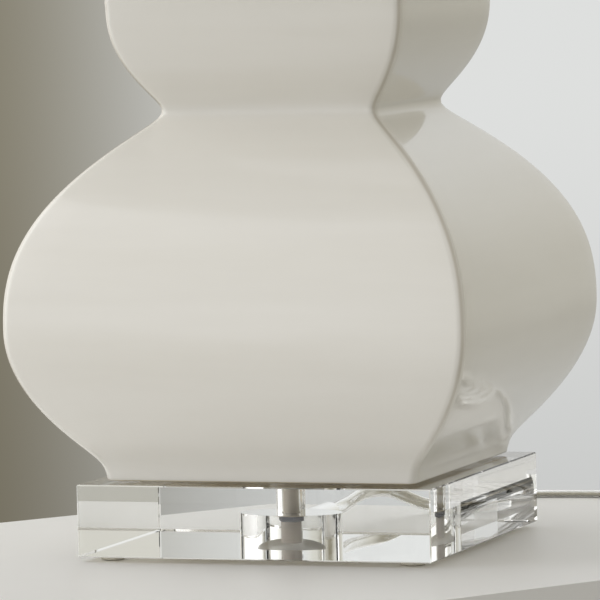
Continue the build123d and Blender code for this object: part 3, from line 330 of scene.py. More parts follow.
def varied_material(name, first, second, scale, roughness, relief=0.0, stretch=(1.0, 1.0, 1.0), **sockets):
    """A material whose tone and polish drift over the surface. Sockets set the shader's other inputs."""
    material, tree, shader = new_material(name)
    values = {
        "Vector": stretched(tree, object_points(tree), stretch),
        "Scale": scale,
        "First Colour": (*first, 1),
        "Second Colour": (*second, 1),
        "Least Roughness": roughness[0],
        "Most Roughness": roughness[1],
    }
    drift = place(tree, "ShaderNodeGroup", values, node_tree=variation_group())
    tree.links.new(drift.outputs["Colour"], shader.inputs["Base Color"])
    tree.links.new(drift.outputs["Roughness"], shader.inputs["Roughness"])
    if relief:
        bump(tree, shader, drift.outputs["Height"], 0.4, relief)
    for socket, value in sockets.items():
        shader.inputs[socket.replace("_", " ")].default_value = value
    return material


def glaze_material(settings):
    """Pale glaze with faint level streaks of painted reflection, a darker brown line of painted shade along
    the upright edges, and a paler band of painted light above the foot.
    """
    material, tree, shader = new_material("pale_glaze")
    points = object_points(tree)
    # Painted reflection: paler level streaks, as the room reflects in the wavy glaze
    streak = clouds(tree, stretched(tree, points, (4.0, 4.0, 34.0)), 1.0, 4.0)
    tone = mixed(tree, ranged(tree, streak, 0.35, 0.68), settings.colour, settings.reflection_streak_colour)
    flat = place(tree, "ShaderNodeSeparateXYZ", {0: points})
    sides = [maths(tree, "ABSOLUTE", flat.outputs[axis]) for axis in "XY"]
    # Painted shade: a darker brown line along the upright edges, where the rounded edges reflect the dark
    # room
    off_edge = maths(tree, "ABSOLUTE", maths(tree, "SUBTRACT", *sides))
    uneven = clouds(tree, points, 60.0, 3.0)
    reach = ranged(tree, uneven, 0.0, 1.0, settings.edge_width * 0.6, settings.edge_width * 1.4)
    painted_edge_shade = ranged(tree, maths(tree, "DIVIDE", off_edge, reach), 0.1, 1.0, 0.45, 0.0, eased=True)
    tone = mixed(tree, painted_edge_shade, tone, settings.painted_edge_shade_colour)
    foot = BODY_LOW.z
    # Painted light: paler glaze above the foot, standing in for light thrown up from the clear block
    painted_foot_light = ranged(tree, flat.outputs["Z"], foot, foot + PAINTED_FOOT_LIGHT_HEIGHT, 0.85, 0.0, eased=True)
    tone = mixed(tree, painted_foot_light, tone, settings.painted_foot_light_colour)
    bare = ranged(tree, flat.outputs["Z"], foot + 0.0001, foot + 0.0006, 1.0, 0.0)
    tone = mixed(tree, bare, tone, settings.clay_colour)
    tree.links.new(tone, shader.inputs["Base Color"])
    bump(tree, shader, clouds(tree, points, 22.0, 1.0), 0.25, 0.0008)
    shader.inputs["Roughness"].default_value = 0.16
    shader.inputs["Coat Weight"].default_value = 0.5
    shader.inputs["Coat Roughness"].default_value = 0.04
    return material


def acrylic_material(name, roughness):
    """Polished clear acrylic."""
    first, second = (0.985, 0.99, 0.988), (0.97, 0.98, 0.975)
    return varied_material(name, first, second, 30.0, roughness, Transmission_Weight=1.0, IOR=1.49)


def let_light_through(material, share, tint):
    """Lets a share of the lamps' light pass straight through a clear material, as its polish does."""
    tree = material.node_tree
    path = tree.nodes.new("ShaderNodeLightPath")
    opened = maths(tree, "MULTIPLY", path.outputs["Is Shadow Ray"], share)
    passing = place(tree, "ShaderNodeBsdfTransparent", {"Color": (*tint, 1)}).outputs[0]
    shader = tree.nodes["Principled BSDF"].outputs[0]
    both = place(tree, "ShaderNodeMixShader", {0: opened, 1: shader, 2: passing})
    tree.links.new(both.outputs[0], tree.nodes["Material Output"].inputs["Surface"])


def linen_material(name, settings):
    """Woven linen on the piece's own flat map."""
    material, tree, shader = new_material(name)
    values = {
        "Vector": place(tree, "ShaderNodeUVMap", uv_map="cut").outputs["UV"],
        "Threads per metre": 1 / settings.thread,
    }
    weave = place(tree, "ShaderNodeGroup", values, node_tree=weave_group())
    tone = mixed(tree, weave.outputs["Slub"], settings.colour, settings.slub_colour)
    tree.links.new(tone, shader.inputs["Base Color"])
    bump(tree, shader, weave.outputs["Height"], 0.5, 0.0003)
    shader.inputs["Roughness"].default_value = 0.85
    shader.inputs["Sheen Weight"].default_value = 0.15
    return material


def settle(piece, body, replaced=()):
    """Lets a piece ride on its body and stand for its nodes."""
    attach(piece, body)
    if replaced:
        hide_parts(*replaced)
    return piece


def new_piece(mesh, name, body, material, replaced=(), sharp_angle=None):
    """Turns a bmesh into a finished piece that rides on a body."""
    data = bpy.data.meshes.new(name)
    mesh.to_mesh(data)
    mesh.free()
    data.shade_smooth()
    if sharp_angle is not None:
        data.set_sharp_from_angle(angle=sharp_angle)
    data.materials.append(material)
    piece = bpy.data.objects.new(name, data)
    bpy.context.scene.collection.objects.link(piece)
    return settle(piece, body, replaced)


def dress(material, *names):
    """Gives nodes of the frame their finish."""
    for name in names:
        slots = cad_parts[name].data.materials
        slots.clear()
        slots.append(material)


def points_of(items):
    return [item for item in items if isinstance(item, bmesh.types.BMVert)]


def edges_of(items):
    return [item for item in items if isinstance(item, bmesh.types.BMEdge)]


def extrude_ring(mesh, ring):
    """Extrudes a ring of edges, and returns its new points and its new ring."""
    made = bmesh.ops.extrude_edge_only(mesh, edges=ring)["geom"]
    points = points_of(made)
    fresh = set(points)
    return points, [edge for edge in edges_of(made) if all(end in fresh for end in edge.verts)]


def rounded_square(mesh, half, corner_round, segments, stand=Matrix()):
    """A square face with round corners."""
    turned = stand @ Matrix.Rotation(pi / 4, 4, "Z")
    bmesh.ops.create_circle(mesh, cap_ends=True, segments=4, radius=half * sqrt(2), matrix=turned)
    bmesh.ops.bevel(
        mesh,
        geom=mesh.verts[:],
        offset=corner_round,
        affect="VERTICES",
        segments=segments,
        profile=0.5,
        material=-1,
    )


def spun(profile, steps=96, centre=(0, 0, 0), axis=(0, 0, 1)):
    """A bmesh turned from a profile, a list of points in one plane through the axis."""
    mesh = bmesh.new()
    points = [mesh.verts.new(point) for point in profile]
    edges = [mesh.edges.new(pair) for pair in zip(points, points[1:])]
    bmesh.ops.spin(
        mesh, geom=points + edges, cent=centre, axis=axis, angle=2 * pi, steps=steps, use_merge=True
    )
    bmesh.ops.remove_doubles(mesh, verts=mesh.verts, dist=1e-6)
    bmesh.ops.recalc_face_normals(mesh, faces=mesh.faces)
    return mesh


def glazed_body_mesh():
    """The hollow body as one closed shell: along its foot, up outside, in at the mouth, down inside."""
    mesh = bmesh.new()
    rounded_square(mesh, FOOT_HALF, BODY_EDGE_ROUND, 10)
    long_edges = [edge for edge in mesh.edges if edge.calc_length() > BODY_EDGE_ROUND]
    bmesh.ops.subdivide_edges(mesh, edges=long_edges, cuts=11)
    bmesh.ops.delete(mesh, geom=mesh.faces[:], context="FACES_ONLY")
    phase = 0.1

    def turn_of(point):
        return (Vector((1, 0)).angle_signed(point.co.xy) + phase) % (2 * pi)

    template = [point.co.copy() for point in sorted(mesh.verts, key=turn_of)]
    straight = FOOT_HALF - BODY_EDGE_ROUND

    def grown(value, half):
        if abs(value) <= straight + 1e-7:
            return value * (half - BODY_EDGE_ROUND) / straight
        return value + (half - FOOT_HALF if value > 0 else FOOT_HALF - half)

    def square_ring(half, level):
        return [Vector((grown(p.x, half), grown(p.y, half), BODY_LOW.z + level)) for p in template]

    def round_ring(radius, level):
        return [Vector((*(p.xy.normalized() * radius), BODY_LOW.z + level)) for p in template]

    height = BODY_HIGH.z - BODY_LOW.z
    edge = 0.0012
    foot_inset = 0.02
    mouth_clear = 0.0005
    levels = 128
    inner_levels = 32
    leans = [pi / 2 * step / 4 for step in range(5)]
    foot, collar = gourd_half_width(0), gourd_half_width(height)
    rings = [round_ring(FOOT_HOLE_RADIUS, 0), square_ring(FOOT_HALF - foot_inset, 0)]
    for lean in leans:
        rings.append(square_ring(foot - edge * (1 - sin(lean)), edge * (1 - cos(lean))))
    for step in range(1, levels):
        level = edge + (height - 2 * edge) * step / levels
        rings.append(square_ring(gourd_half_width(level), level))
    for lean in leans:
        rings.append(square_ring(collar - edge * (1 - cos(lean)), height - edge * (1 - sin(lean))))
    rings.append(round_ring(MOUTH_RADIUS, height))
    rings.append(round_ring(MOUTH_RADIUS, height - BODY_WALL))
    for step in range(inner_levels + 1):
        level = height - BODY_WALL - (height - 2 * BODY_WALL) * step / inner_levels
        rings.append(square_ring(max(gourd_half_width(level) - BODY_WALL, MOUTH_RADIUS + mouth_clear), level))
    rings.append(round_ring(FOOT_HOLE_RADIUS, BODY_WALL))

    points = mesh.verts[:]
    first = ring = mesh.edges[:]
    for number, spots in enumerate(rings):
        if number:
            points, ring = extrude_ring(mesh, ring)
        for point, spot in zip(sorted(points, key=turn_of), spots):
            point.co = spot
    bmesh.ops.bridge_loops(mesh, edges=first + ring)
    bmesh.ops.recalc_face_normals(mesh, faces=mesh.faces)
    return mesh


def section_curve(name, outline):
    """A closed flat curve for a cord's section, kept out of the scene."""
    data = bpy.data.curves.new(name, "CURVE")
    data.dimensions = "2D"
    for loop in outline:
        spline = data.splines.new("POLY")
        spline.points.add(len(loop) - 1)
        for point, (across, up) in zip(spline.points, loop):
            point.co = (across, up, 0, 1)
        spline.use_cyclic_u = True
    return bpy.data.objects.new(name, data)


def circle_points(centre, radius, count, start=0.0, sweep=2 * pi, closed=True):
    """Points round a circle or an arc, as pairs."""
    steps = count if closed else count - 1
    angles = [start + sweep * step / steps for step in range(count)]
    return [(centre + radius * cos(angle), radius * sin(angle)) for angle in angles]


def twin_outline(settings):
    """Outline of the flat twin cord: two round lobes with a shallow groove between them."""
    lobe = settings.thick / 2
    middle = settings.width / 2 - lobe
    open_angle = radians(118)
    right = circle_points(middle, lobe, 13, -open_angle, 2 * open_angle, closed=False)
    left = [(-across, -up) for across, up in right]
    return right + left


def strand_outlines(settings):
    """Outlines of the two conductors' strands, a ring of them in each lobe."""
    strand = settings.core / STRANDS
    middle = settings.width / 2 - settings.thick / 2
    loops = []
    for side in (-1, 1):
        for across, up in circle_points(side * middle, settings.core / 2 - strand, STRANDS):
            loops.append([(across + x, up + y) for x, y in circle_points(0, strand, 5)])
    return loops


def cord_curve(name, route, section, twist, material):
    """One smooth open curve along a route, with a section."""
    data = bpy.data.curves.new(name, "CURVE")
    data.dimensions = "3D"
    data.twist_mode = twist
    data.resolution_u = 5
    spline = data.splines.new("NURBS")
    spline.points.add(len(route) - 1)
    for point, (spot, twisted) in zip(spline.points, route):
        point.co = (*spot, 1)
        point.tilt = twisted
    spline.order_u = 3
    spline.use_endpoint_u = True
    spline.use_smooth = True
    data.bevel_mode = "OBJECT"
    data.bevel_object = section
    data.use_fill_caps = True
    data.materials.append(material)
    piece = bpy.data.objects.new(name, data)
    bpy.context.scene.collection.objects.link(piece)
    return piece


def free_route(settings):
    """The free cord's points and twists, with the levels of the coil's two layers.

    It leaves the block on edge, goes down to the table, and ends in the coil and the plug.
    """
    rest = settings.thick / 2 + 0.0001
    low = rest + 0.0010
    high = low + settings.thick + 0.0002
    centre_x, centre_y = COIL_CENTRE
    on_edge = pi / 2
    route = [
        (CORD_EXIT, 0.0),
        ((0.0, 0.0890, 0.0110), on_edge * 0.5),
        ((-0.0018, 0.1050, 0.0110), on_edge),
        ((-0.0034, 0.1220, 0.0119), on_edge),
        ((-0.0036, 0.1390, 0.0125), on_edge),
        ((0.0014, 0.1520, 0.0119), on_edge),
        ((0.0076, 0.1590, 0.0078), on_edge * 0.9),
        ((0.0135, 0.1670, 0.0036), on_edge * 0.7),
        ((0.0230, 0.1760, 0.0026), on_edge * 0.3),
        ((0.0370, 0.1830, rest), 0.0),
        ((0.0560, 0.1866, rest), 0.0),
        ((0.0800, 0.1870, rest), 0.0),
        ((0.1030, 0.1857, rest), 0.0),
        ((0.1185, 0.1846, low), 0.0),
        ((0.1315, 0.1846, low), 0.0),
    ]
    halves = 2 * COIL_HALF_TURNS + 1
    for step in range(COIL_STEPS // 2, halves * COIL_STEPS + 1):
        half = step / COIL_STEPS
        inward = min(half, COIL_HALF_TURNS)
        outward = max(half - COIL_HALF_TURNS - 1, 0)
        radius = COIL_RADIUS - (inward - outward) * COIL_PITCH / 2
        climb = min(max(half - COIL_HALF_TURNS, 0), 1)
        angle = pi - pi * half
        level = low + (high - low) * climb
        route.append(((centre_x + radius * cos(angle), centre_y + radius * sin(angle), level), 0.0))
    tail_x = centre_x + COIL_RADIUS
    plug_level = (PLUG_LOW.z + PLUG_HIGH.z) / 2
    for along, level in (
        (0.1344, high),
        (0.1254, high),
        (0.1134, plug_level),
        (PLUG_HIGH.y, plug_level),
        (PLUG_HIGH.y - 0.004, plug_level),
    ):
        route.append(((tail_x, along, level), 0.0))
    return route, low, high


# The cord inside the lamp: down the pipe, out under the bushing and along the channel
INNER_ROUTE = [
    ((0.0, along, level), 0.0)
    for along, level in (
        (0.0, 0.3311),
        (0.0, 0.1700),
        (0.0, 0.0200),
        (0.0, 0.0085),
        (0.0015, 0.0058),
        (0.0060, 0.0053),
        (0.0180, 0.0054),
        (0.0400, 0.0084),
        (0.0600, 0.0097),
        CORD_EXIT[1:],
    )
]


class GOURD_OT_camera(bpy.types.Operator):
    """Stand the camera where the lamp's lower part fills the picture"""

    bl_idname = "gourd_lamp.camera"
    bl_label = "Stand the Camera"

    def execute(self, context):
        settings = context.scene.gourd_camera
        turn, tip, lean = settings.azimuth, settings.pitch, settings.roll
        back = Vector((sin(turn) * cos(tip), -cos(turn) * cos(tip), sin(tip)))
        level = Vector((cos(turn), sin(turn), 0))
        upright = back.cross(level)
        right = level * cos(lean) + upright * sin(lean)
        up = upright * cos(lean) - level * sin(lean)
        data = bpy.data.cameras.new("camera")
        data.sensor_width = 36.0
        data.lens = settings.lens
        data.clip_start = 0.05
        data.clip_end = 60.0
        camera = bpy.data.objects.new("camera", data)
        context.scene.collection.objects.link(camera)
        target = Vector((0, 0, BLOCK_LOW.z))
        spot = target + back * settings.distance + right * settings.aside + up * settings.raised
        turned = Matrix((right, up, back)).transposed().to_4x4()
        camera.matrix_world = Matrix.Translation(spot) @ turned
        context.scene.camera = camera
        return {"FINISHED"}


class GOURD_OT_cord(bpy.types.Operator):
    """Lay the clear twin cord from the block to its plug, with the put-away length in a tied coil"""

    bl_idname = "gourd_lamp.cord"
    bl_label = "Lay the Cord"

    def execute(self, context):
        settings = context.scene.gourd_cord
        clear = varied_material(
            "clear_sheath", (0.86, 0.86, 0.82), (0.80, 0.80, 0.75), 90.0, (0.10, 0.24),
            Transmission_Weight=0.86, IOR=1.44,
        )
        tinned = varied_material(
            "tinned_strands", (0.74, 0.70, 0.60), (0.56, 0.52, 0.43), 700.0, (0.3, 0.5),
            relief=0.0002, Metallic=0.35,
        )
        outline = section_curve("cord_section", [twin_outline(settings)])
        core_outline = section_curve("core_section", strand_outlines(settings))
        route, low, high = free_route(settings)
        cord = cord_curve("free_cord", route, outline, "Z_UP", clear)
        settle(cord, "root", ("cord_run", "cord_coil", "cord_tail"))
        strands = cord_curve("free_cord_strands", route, core_outline, "Z_UP", tinned)
        settle(strands, "root")
        inner = cord_curve("inner_cord_sheath", INNER_ROUTE, outline, "MINIMUM", clear)
        settle(inner, "root", ("inner_cord",))
        inner_strands = cord_curve("inner_cord_strands", INNER_ROUTE, core_outline, "MINIMUM", tinned)
        settle(inner_strands, "root")
        plug = self.make_plug()
        tie = self.make_tie(low, high, settings)
        return {"FINISHED"}

    def make_plug(self):
        """Moulded plug: a ribbed taper, a waist for the fingers and a flat face for the blades."""
        ivory = varied_material(
            "plug_vinyl", (0.80, 0.78, 0.71), (0.75, 0.73, 0.65), 60.0, (0.32, 0.45), relief=0.00005
        )
        centre = (PLUG_LOW + PLUG_HIGH) / 2
        size = PLUG_HIGH - PLUG_LOW
        mesh = bmesh.new()
        rounded_square(mesh, 0.5, 0.3, 6)
        stand = Matrix.Translation((centre.x, PLUG_HIGH.y, centre.z)) @ Matrix.Rotation(pi / 2, 4, "X")
        bmesh.ops.transform(mesh, matrix=stand, verts=mesh.verts)
        width_now, thick_now = 0.0078, 0.0058
        for point in mesh.verts:
            point.co.x = centre.x + (point.co.x - centre.x) * width_now
            point.co.z = centre.z + (point.co.z - centre.z) * thick_now
        # Distance from the cord's end, and shares of the plug's width and thickness
        stations = []
        ribs = 5
        relief = 0.020
        for rib in range(ribs):
            along = relief * (rib + 0.5) / ribs
            grow = 0.6 * along / relief
            for offset, extra in ((-0.0012, 1.0), (-0.0008, 1.12), (0.0006, 1.12), (0.0010, 1.0)):
                stations.append((along + offset, (0.40 + grow * 0.55) * extra, (0.46 + grow * 0.72) * extra))
        stations += [
            (0.0202, 0.80, 0.92),
            (0.0208, 0.93, 0.97),
            (0.0222, 1.0, 1.0),
            (0.0290, 1.0, 1.0),
            (0.0330, 0.93, 0.94),
            (0.0380, 0.93, 0.94),
            (0.0415, 1.0, 1.0),
            (0.0450, 1.0, 1.0),
            (0.0457, 0.97, 0.97),
            (0.0460, 0.93, 0.92),
        ]
        ring = mesh.edges[:]
        for along, width_share, thick_share in stations:
            width, thick = size.x * width_share, size.z * thick_share
            points, ring = extrude_ring(mesh, ring)
            for point in points:
                across = (point.co.x - centre.x) * width / width_now
                up = (point.co.z - centre.z) * thick / thick_now
                point.co = (centre.x + across, PLUG_HIGH.y - along, centre.z + up)
            width_now, thick_now = width, thick
        bmesh.ops.contextual_create(mesh, geom=ring)
        bmesh.ops.recalc_face_normals(mesh, faces=mesh.faces)
        return new_piece(mesh, "moulded_plug", "root", ivory, ("plug_body",), radians(40))

    def make_tie(self, low, high, settings):
        """Thin coated band round the coil's turns."""
        coated = varied_material("tie_coat", (0.82, 0.82, 0.79), (0.76, 0.76, 0.72), 120.0, (0.4, 0.55))
        thick, width = 0.0006, 0.0034
        side_gap, level_gap = 0.0012, 0.0002
        corner_round = 0.002
        centre_x, centre_y = COIL_CENTRE
        inmost_turn = COIL_RADIUS - (2 * COIL_HALF_TURNS - 1) * COIL_PITCH / 4
        inner = inmost_turn - settings.width / 2 - side_gap
        outer = COIL_RADIUS - COIL_PITCH / 4 + settings.width / 2 + side_gap
        bottom = low - settings.thick / 2 - level_gap
        top = high + settings.thick / 2 + level_gap
        middle = Vector((centre_x - width / 2, centre_y - (inner + outer) / 2, (bottom + top) / 2))
        upright = Matrix.Translation(middle) @ Matrix.Rotation(pi / 2, 4, "Y")
        mesh = bmesh.new()
        rounded_square(
            mesh, 0.5, corner_round, 5, upright @ Matrix.Diagonal((top - bottom, outer - inner, 1, 1))
        )
        bmesh.ops.delete(mesh, geom=mesh.faces[:], context="FACES_ONLY")
        points = extrude_ring(mesh, mesh.edges[:])[0]
        bmesh.ops.translate(mesh, verts=points, vec=(width, 0, 0))
        bmesh.ops.recalc_face_normals(mesh, faces=mesh.faces)
        tie = new_piece(mesh, "coil_tie", "root", coated, ("cord_tie",))
        wall = tie.modifiers.new("wall", "SOLIDIFY")
        wall.thickness = thick
        wall.offset = 1.0
        return tie


class GOURD_OT_body(bpy.types.Operator):
    """Model the glazed double-gourd body"""

    bl_idname = "gourd_lamp.body"
    bl_label = "Glaze the Body"

    def execute(self, context):
        glaze = glaze_material(context.scene.gourd_glaze)
        new_piece(glazed_body_mesh(), "glazed_body", "root", glaze, ("ceramic_body",), radians(60))
        return {"FINISHED"}


class GOURD_OT_block(bpy.types.Operator):
    """Finish the clear block and what it holds"""

    bl_idname = "gourd_lamp.block"
    bl_label = "Finish the Block"

    def execute(self, context):
        clear = acrylic_material("clear_acrylic", (0.0, 0.004))
        let_light_through(clear, 0.6, (0.97, 0.88, 0.68))
        dress(clear, "acrylic_block")
        bumper = varied_material(
            "clear_bumper", (0.86, 0.84, 0.78), (0.80, 0.78, 0.71), 200.0, (0.35, 0.5),
            Transmission_Weight=0.35, IOR=1.43,
        )
        satin = varied_material(
            "satin_washer", (0.76, 0.69, 0.57), (0.70, 0.63, 0.51), 180.0, (0.40, 0.55), Metallic=0.5
        )
        chrome = varied_material(
            "dark_chrome", (0.16, 0.16, 0.17), (0.10, 0.10, 0.11), 160.0, (0.06, 0.18), Metallic=1.0
        )
        nylon = varied_material(
            "pale_nylon", (0.84, 0.78, 0.73), (0.76, 0.70, 0.65), 150.0, (0.25, 0.4),
            relief=0.00004, stretch=(3, 3, 0.3), Transmission_Weight=0.3, IOR=1.5,
        )
        felt = varied_material(
            "felt_pad", (0.62, 0.54, 0.40), (0.54, 0.46, 0.33), 400.0, (0.8, 0.95), relief=0.0001
        )
        zinc = varied_material(
            "zinc_steel", (0.62, 0.57, 0.49), (0.52, 0.47, 0.40), 140.0, (0.42, 0.6),
            stretch=(1, 1, 0.2), Metallic=0.8,
        )
        sharp = radians(40)
        new_piece(self.feet_mesh(), "bumper_pads", "root", bumper, ("bumper_feet",), sharp)
        new_piece(self.washer_mesh(), "well_washer", "root", satin, ("block_washer",), sharp)
        new_piece(self.pad_mesh(), "felt_pad", "root", felt, ("body_pad",), sharp)
        dress(chrome, "base_nut")
        dress(nylon, "cord_bushing")
        dress(zinc, "lamp_pipe", "cap_set_screw")
        return {"FINISHED"}

    def feet_mesh(self):
        """Four low domed pads, a hair under the block."""
        low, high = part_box("bumper_feet")
        radius = 0.005
        gap = 0.00008
        profile = [
            (0.0, low.z),
            (radius * 0.72, low.z),
            (radius * 0.92, low.z + 0.00025),
            (radius, low.z + 0.0008),
            (radius, high.z - 0.0005),
            (radius * 0.97, high.z - 0.00015),
            (radius * 0.92, high.z - gap),
            (0.0, high.z - gap),
        ]
        mesh = spun([(across, 0, level) for across, level in profile], steps=48)
        first = mesh.verts[:] + mesh.edges[:] + mesh.faces[:]
        reach = high.x - radius
        for spot in ((reach, reach), (-reach, reach), (-reach, -reach)):
            copied = bmesh.ops.duplicate(mesh, geom=first)["geom"]
            bmesh.ops.translate(mesh, verts=points_of(copied), vec=(*spot, 0))
        bmesh.ops.translate(mesh, verts=points_of(first), vec=(reach, -reach, 0))
        return mesh

    def pad_mesh(self):
        """Thin square pad with a hole for the pipe, a hair above the block."""
        low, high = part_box("body_pad")
        hole = 0.0075
        corner_round = 0.006
        around = 40
        base = Matrix.Translation((0, 0, low.z + POLISH_GAP))
        turned = base @ Matrix.Rotation(pi / 4, 4, "Z")
        mesh = bmesh.new()
        rounded_square(mesh, high.x, corner_round, 6, base)
        bmesh.ops.delete(mesh, geom=mesh.faces[:], context="FACES_ONLY")
        bmesh.ops.create_circle(mesh, cap_ends=False, segments=around, radius=hole, matrix=turned)
        bmesh.ops.bridge_loops(mesh, edges=mesh.edges[:])
        made = bmesh.ops.extrude_face_region(mesh, geom=mesh.faces[:])["geom"]
        bmesh.ops.translate(mesh, verts=points_of(made), vec=(0, 0, high.z - low.z - POLISH_GAP))
        bmesh.ops.recalc_face_normals(mesh, faces=mesh.faces)
        return mesh

    def washer_mesh(self):
        """Flat washer with broken edges, a hair under the well's ceiling."""
        low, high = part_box("block_washer")
        outer = (high.x - low.x) / 2
        hole = 0.0051
        broken = 0.0002
        top = high.z - POLISH_GAP
        profile = [
            (hole, low.z + broken),
            (hole + broken, low.z),
            (outer - broken, low.z),
            (outer, low.z + broken),
            (outer, top - broken),
            (outer - broken, top),
            (hole + broken, top),
            (hole, top - broken),
            (hole, low.z + broken),
        ]
        return spun([(across, 0, level) for across, level in profile])


class GOURD_OT_metalwork(bpy.types.Operator):
    """Finish the satin nickel pieces above the body"""

    bl_idname = "gourd_lamp.metalwork"
    bl_label = "Finish the Metalwork"

    def execute(self, context):
        nickel = varied_material(
            "satin_nickel", (0.70, 0.67, 0.63), (0.66, 0.63, 0.59), 160.0, (0.22, 0.30),
            stretch=(1.0, 1.0, 8.0), Metallic=1.0, Anisotropic=0.4,
        )
        dress(
            nickel,
            "vase_cap",
            "neck_ring",
            "harp_saddle",
            "harp",
            "harp_stud",
            "harp_sleeve_left",
            "harp_sleeve_right",
            "socket_cap",
            "socket_shell",
            "finial_base",
        )
        return {"FINISHED"}


class GOURD_OT_socket(bpy.types.Operator):
    """Finish the socket's inner pieces and the switch"""

    bl_idname = "gourd_lamp.socket"
    bl_label = "Finish the Socket"

    def execute(self, context):
        paper = varied_material(
            "fibre_paper", (0.46, 0.36, 0.24), (0.38, 0.29, 0.19), 180.0, (0.7, 0.9), relief=0.0001
        )
        phenolic = varied_material(
            "black_phenolic", (0.022, 0.021, 0.02), (0.035, 0.033, 0.03), 120.0, (0.22, 0.4), relief=0.00003
        )
        brass = varied_material(
            "plain_brass", (0.72, 0.52, 0.23), (0.60, 0.42, 0.18), 160.0, (0.2, 0.38), Metallic=1.0
        )
        dress(paper, "socket_liner")
        dress(phenolic, "switch_body")
        dress(
            brass,
            "screw_shell",
            "centre_contact",
            "terminal_screws",
            "switch_shaft",
            "finial_insert",
            "plug_blades",
        )
        knob = self.knob_mesh()
        new_piece(knob, "fluted_knob", "knob", phenolic, ("switch_knob",), radians(35))
        return {"FINISHED"}

    def knob_mesh(self):
        """Turned knob with a fluted grip and a bore for the switch's shaft."""
        tip, base = KNOB_LOW.y, KNOB_HIGH.y
        level = (KNOB_LOW.z + KNOB_HIGH.z) / 2
        grip = (KNOB_HIGH.z - KNOB_LOW.z) / 2
        bore, bore_depth = 0.0016, 0.0080
        neck = 0.0031
        profile = [
            (0.0, tip),
            (grip * 0.66, tip),
            (grip * 0.86, tip + 0.0004),
            (grip * 0.95, tip + 0.0011),
            (grip, tip + 0.0020),
            (grip, base - 0.0042),
            (grip * 0.93, base - 0.0034),
            (neck, base - 0.0026),
            (neck, base - 0.0004),
            (neck - 0.0003, base),
            (bore, base),
            (bore, base - bore_depth),
            (0.0, base - bore_depth),
        ]
        mesh = spun([(0, along, level + out) for out, along in profile], 144, (0, tip, level), (0, 1, 0))
        flutes = 18
        depth = 0.09
        for point in mesh.verts:
            spoke = Vector((point.co.x, point.co.z - level))
            if spoke.length > grip * 0.99:
                turn = Vector((1, 0)).angle_signed(spoke)
                spoke *= 1 - depth * (1 + cos(flutes * turn)) / 2
                point.co.x, point.co.z = spoke.x, level + spoke.y
        return mesh


class GOURD_OT_bulb(bpy.types.Operator):
    """Finish the bulb"""

    bl_idname = "gourd_lamp.bulb"
    bl_label = "Finish the Bulb"

    def execute(self, context):
        frosted = varied_material(
            "frosted_glass", (0.95, 0.95, 0.93), (0.91, 0.91, 0.88), 60.0, (0.35, 0.5),
            Transmission_Weight=0.25, IOR=1.5,
        )
        stem = varied_material(
            "stem_glass", (0.90, 0.86, 0.72), (0.84, 0.78, 0.62), 90.0, (0.1, 0.3),
            Transmission_Weight=0.4, IOR=1.5,
        )
        aluminium = varied_material(
            "drawn_aluminium", (0.72, 0.72, 0.71), (0.62, 0.62, 0.61), 200.0, (0.25, 0.42), Metallic=1.0
        )
        solder = varied_material(
            "solder", (0.55, 0.55, 0.54), (0.45, 0.45, 0.44), 400.0, (0.35, 0.55), relief=0.0001, Metallic=1.0
        )
        dress(frosted, "bulb_glass")
        dress(stem, "bulb_stem")
        dress(aluminium, "bulb_base")
        dress(solder, "bulb_tip")
        return {"FINISHED"}


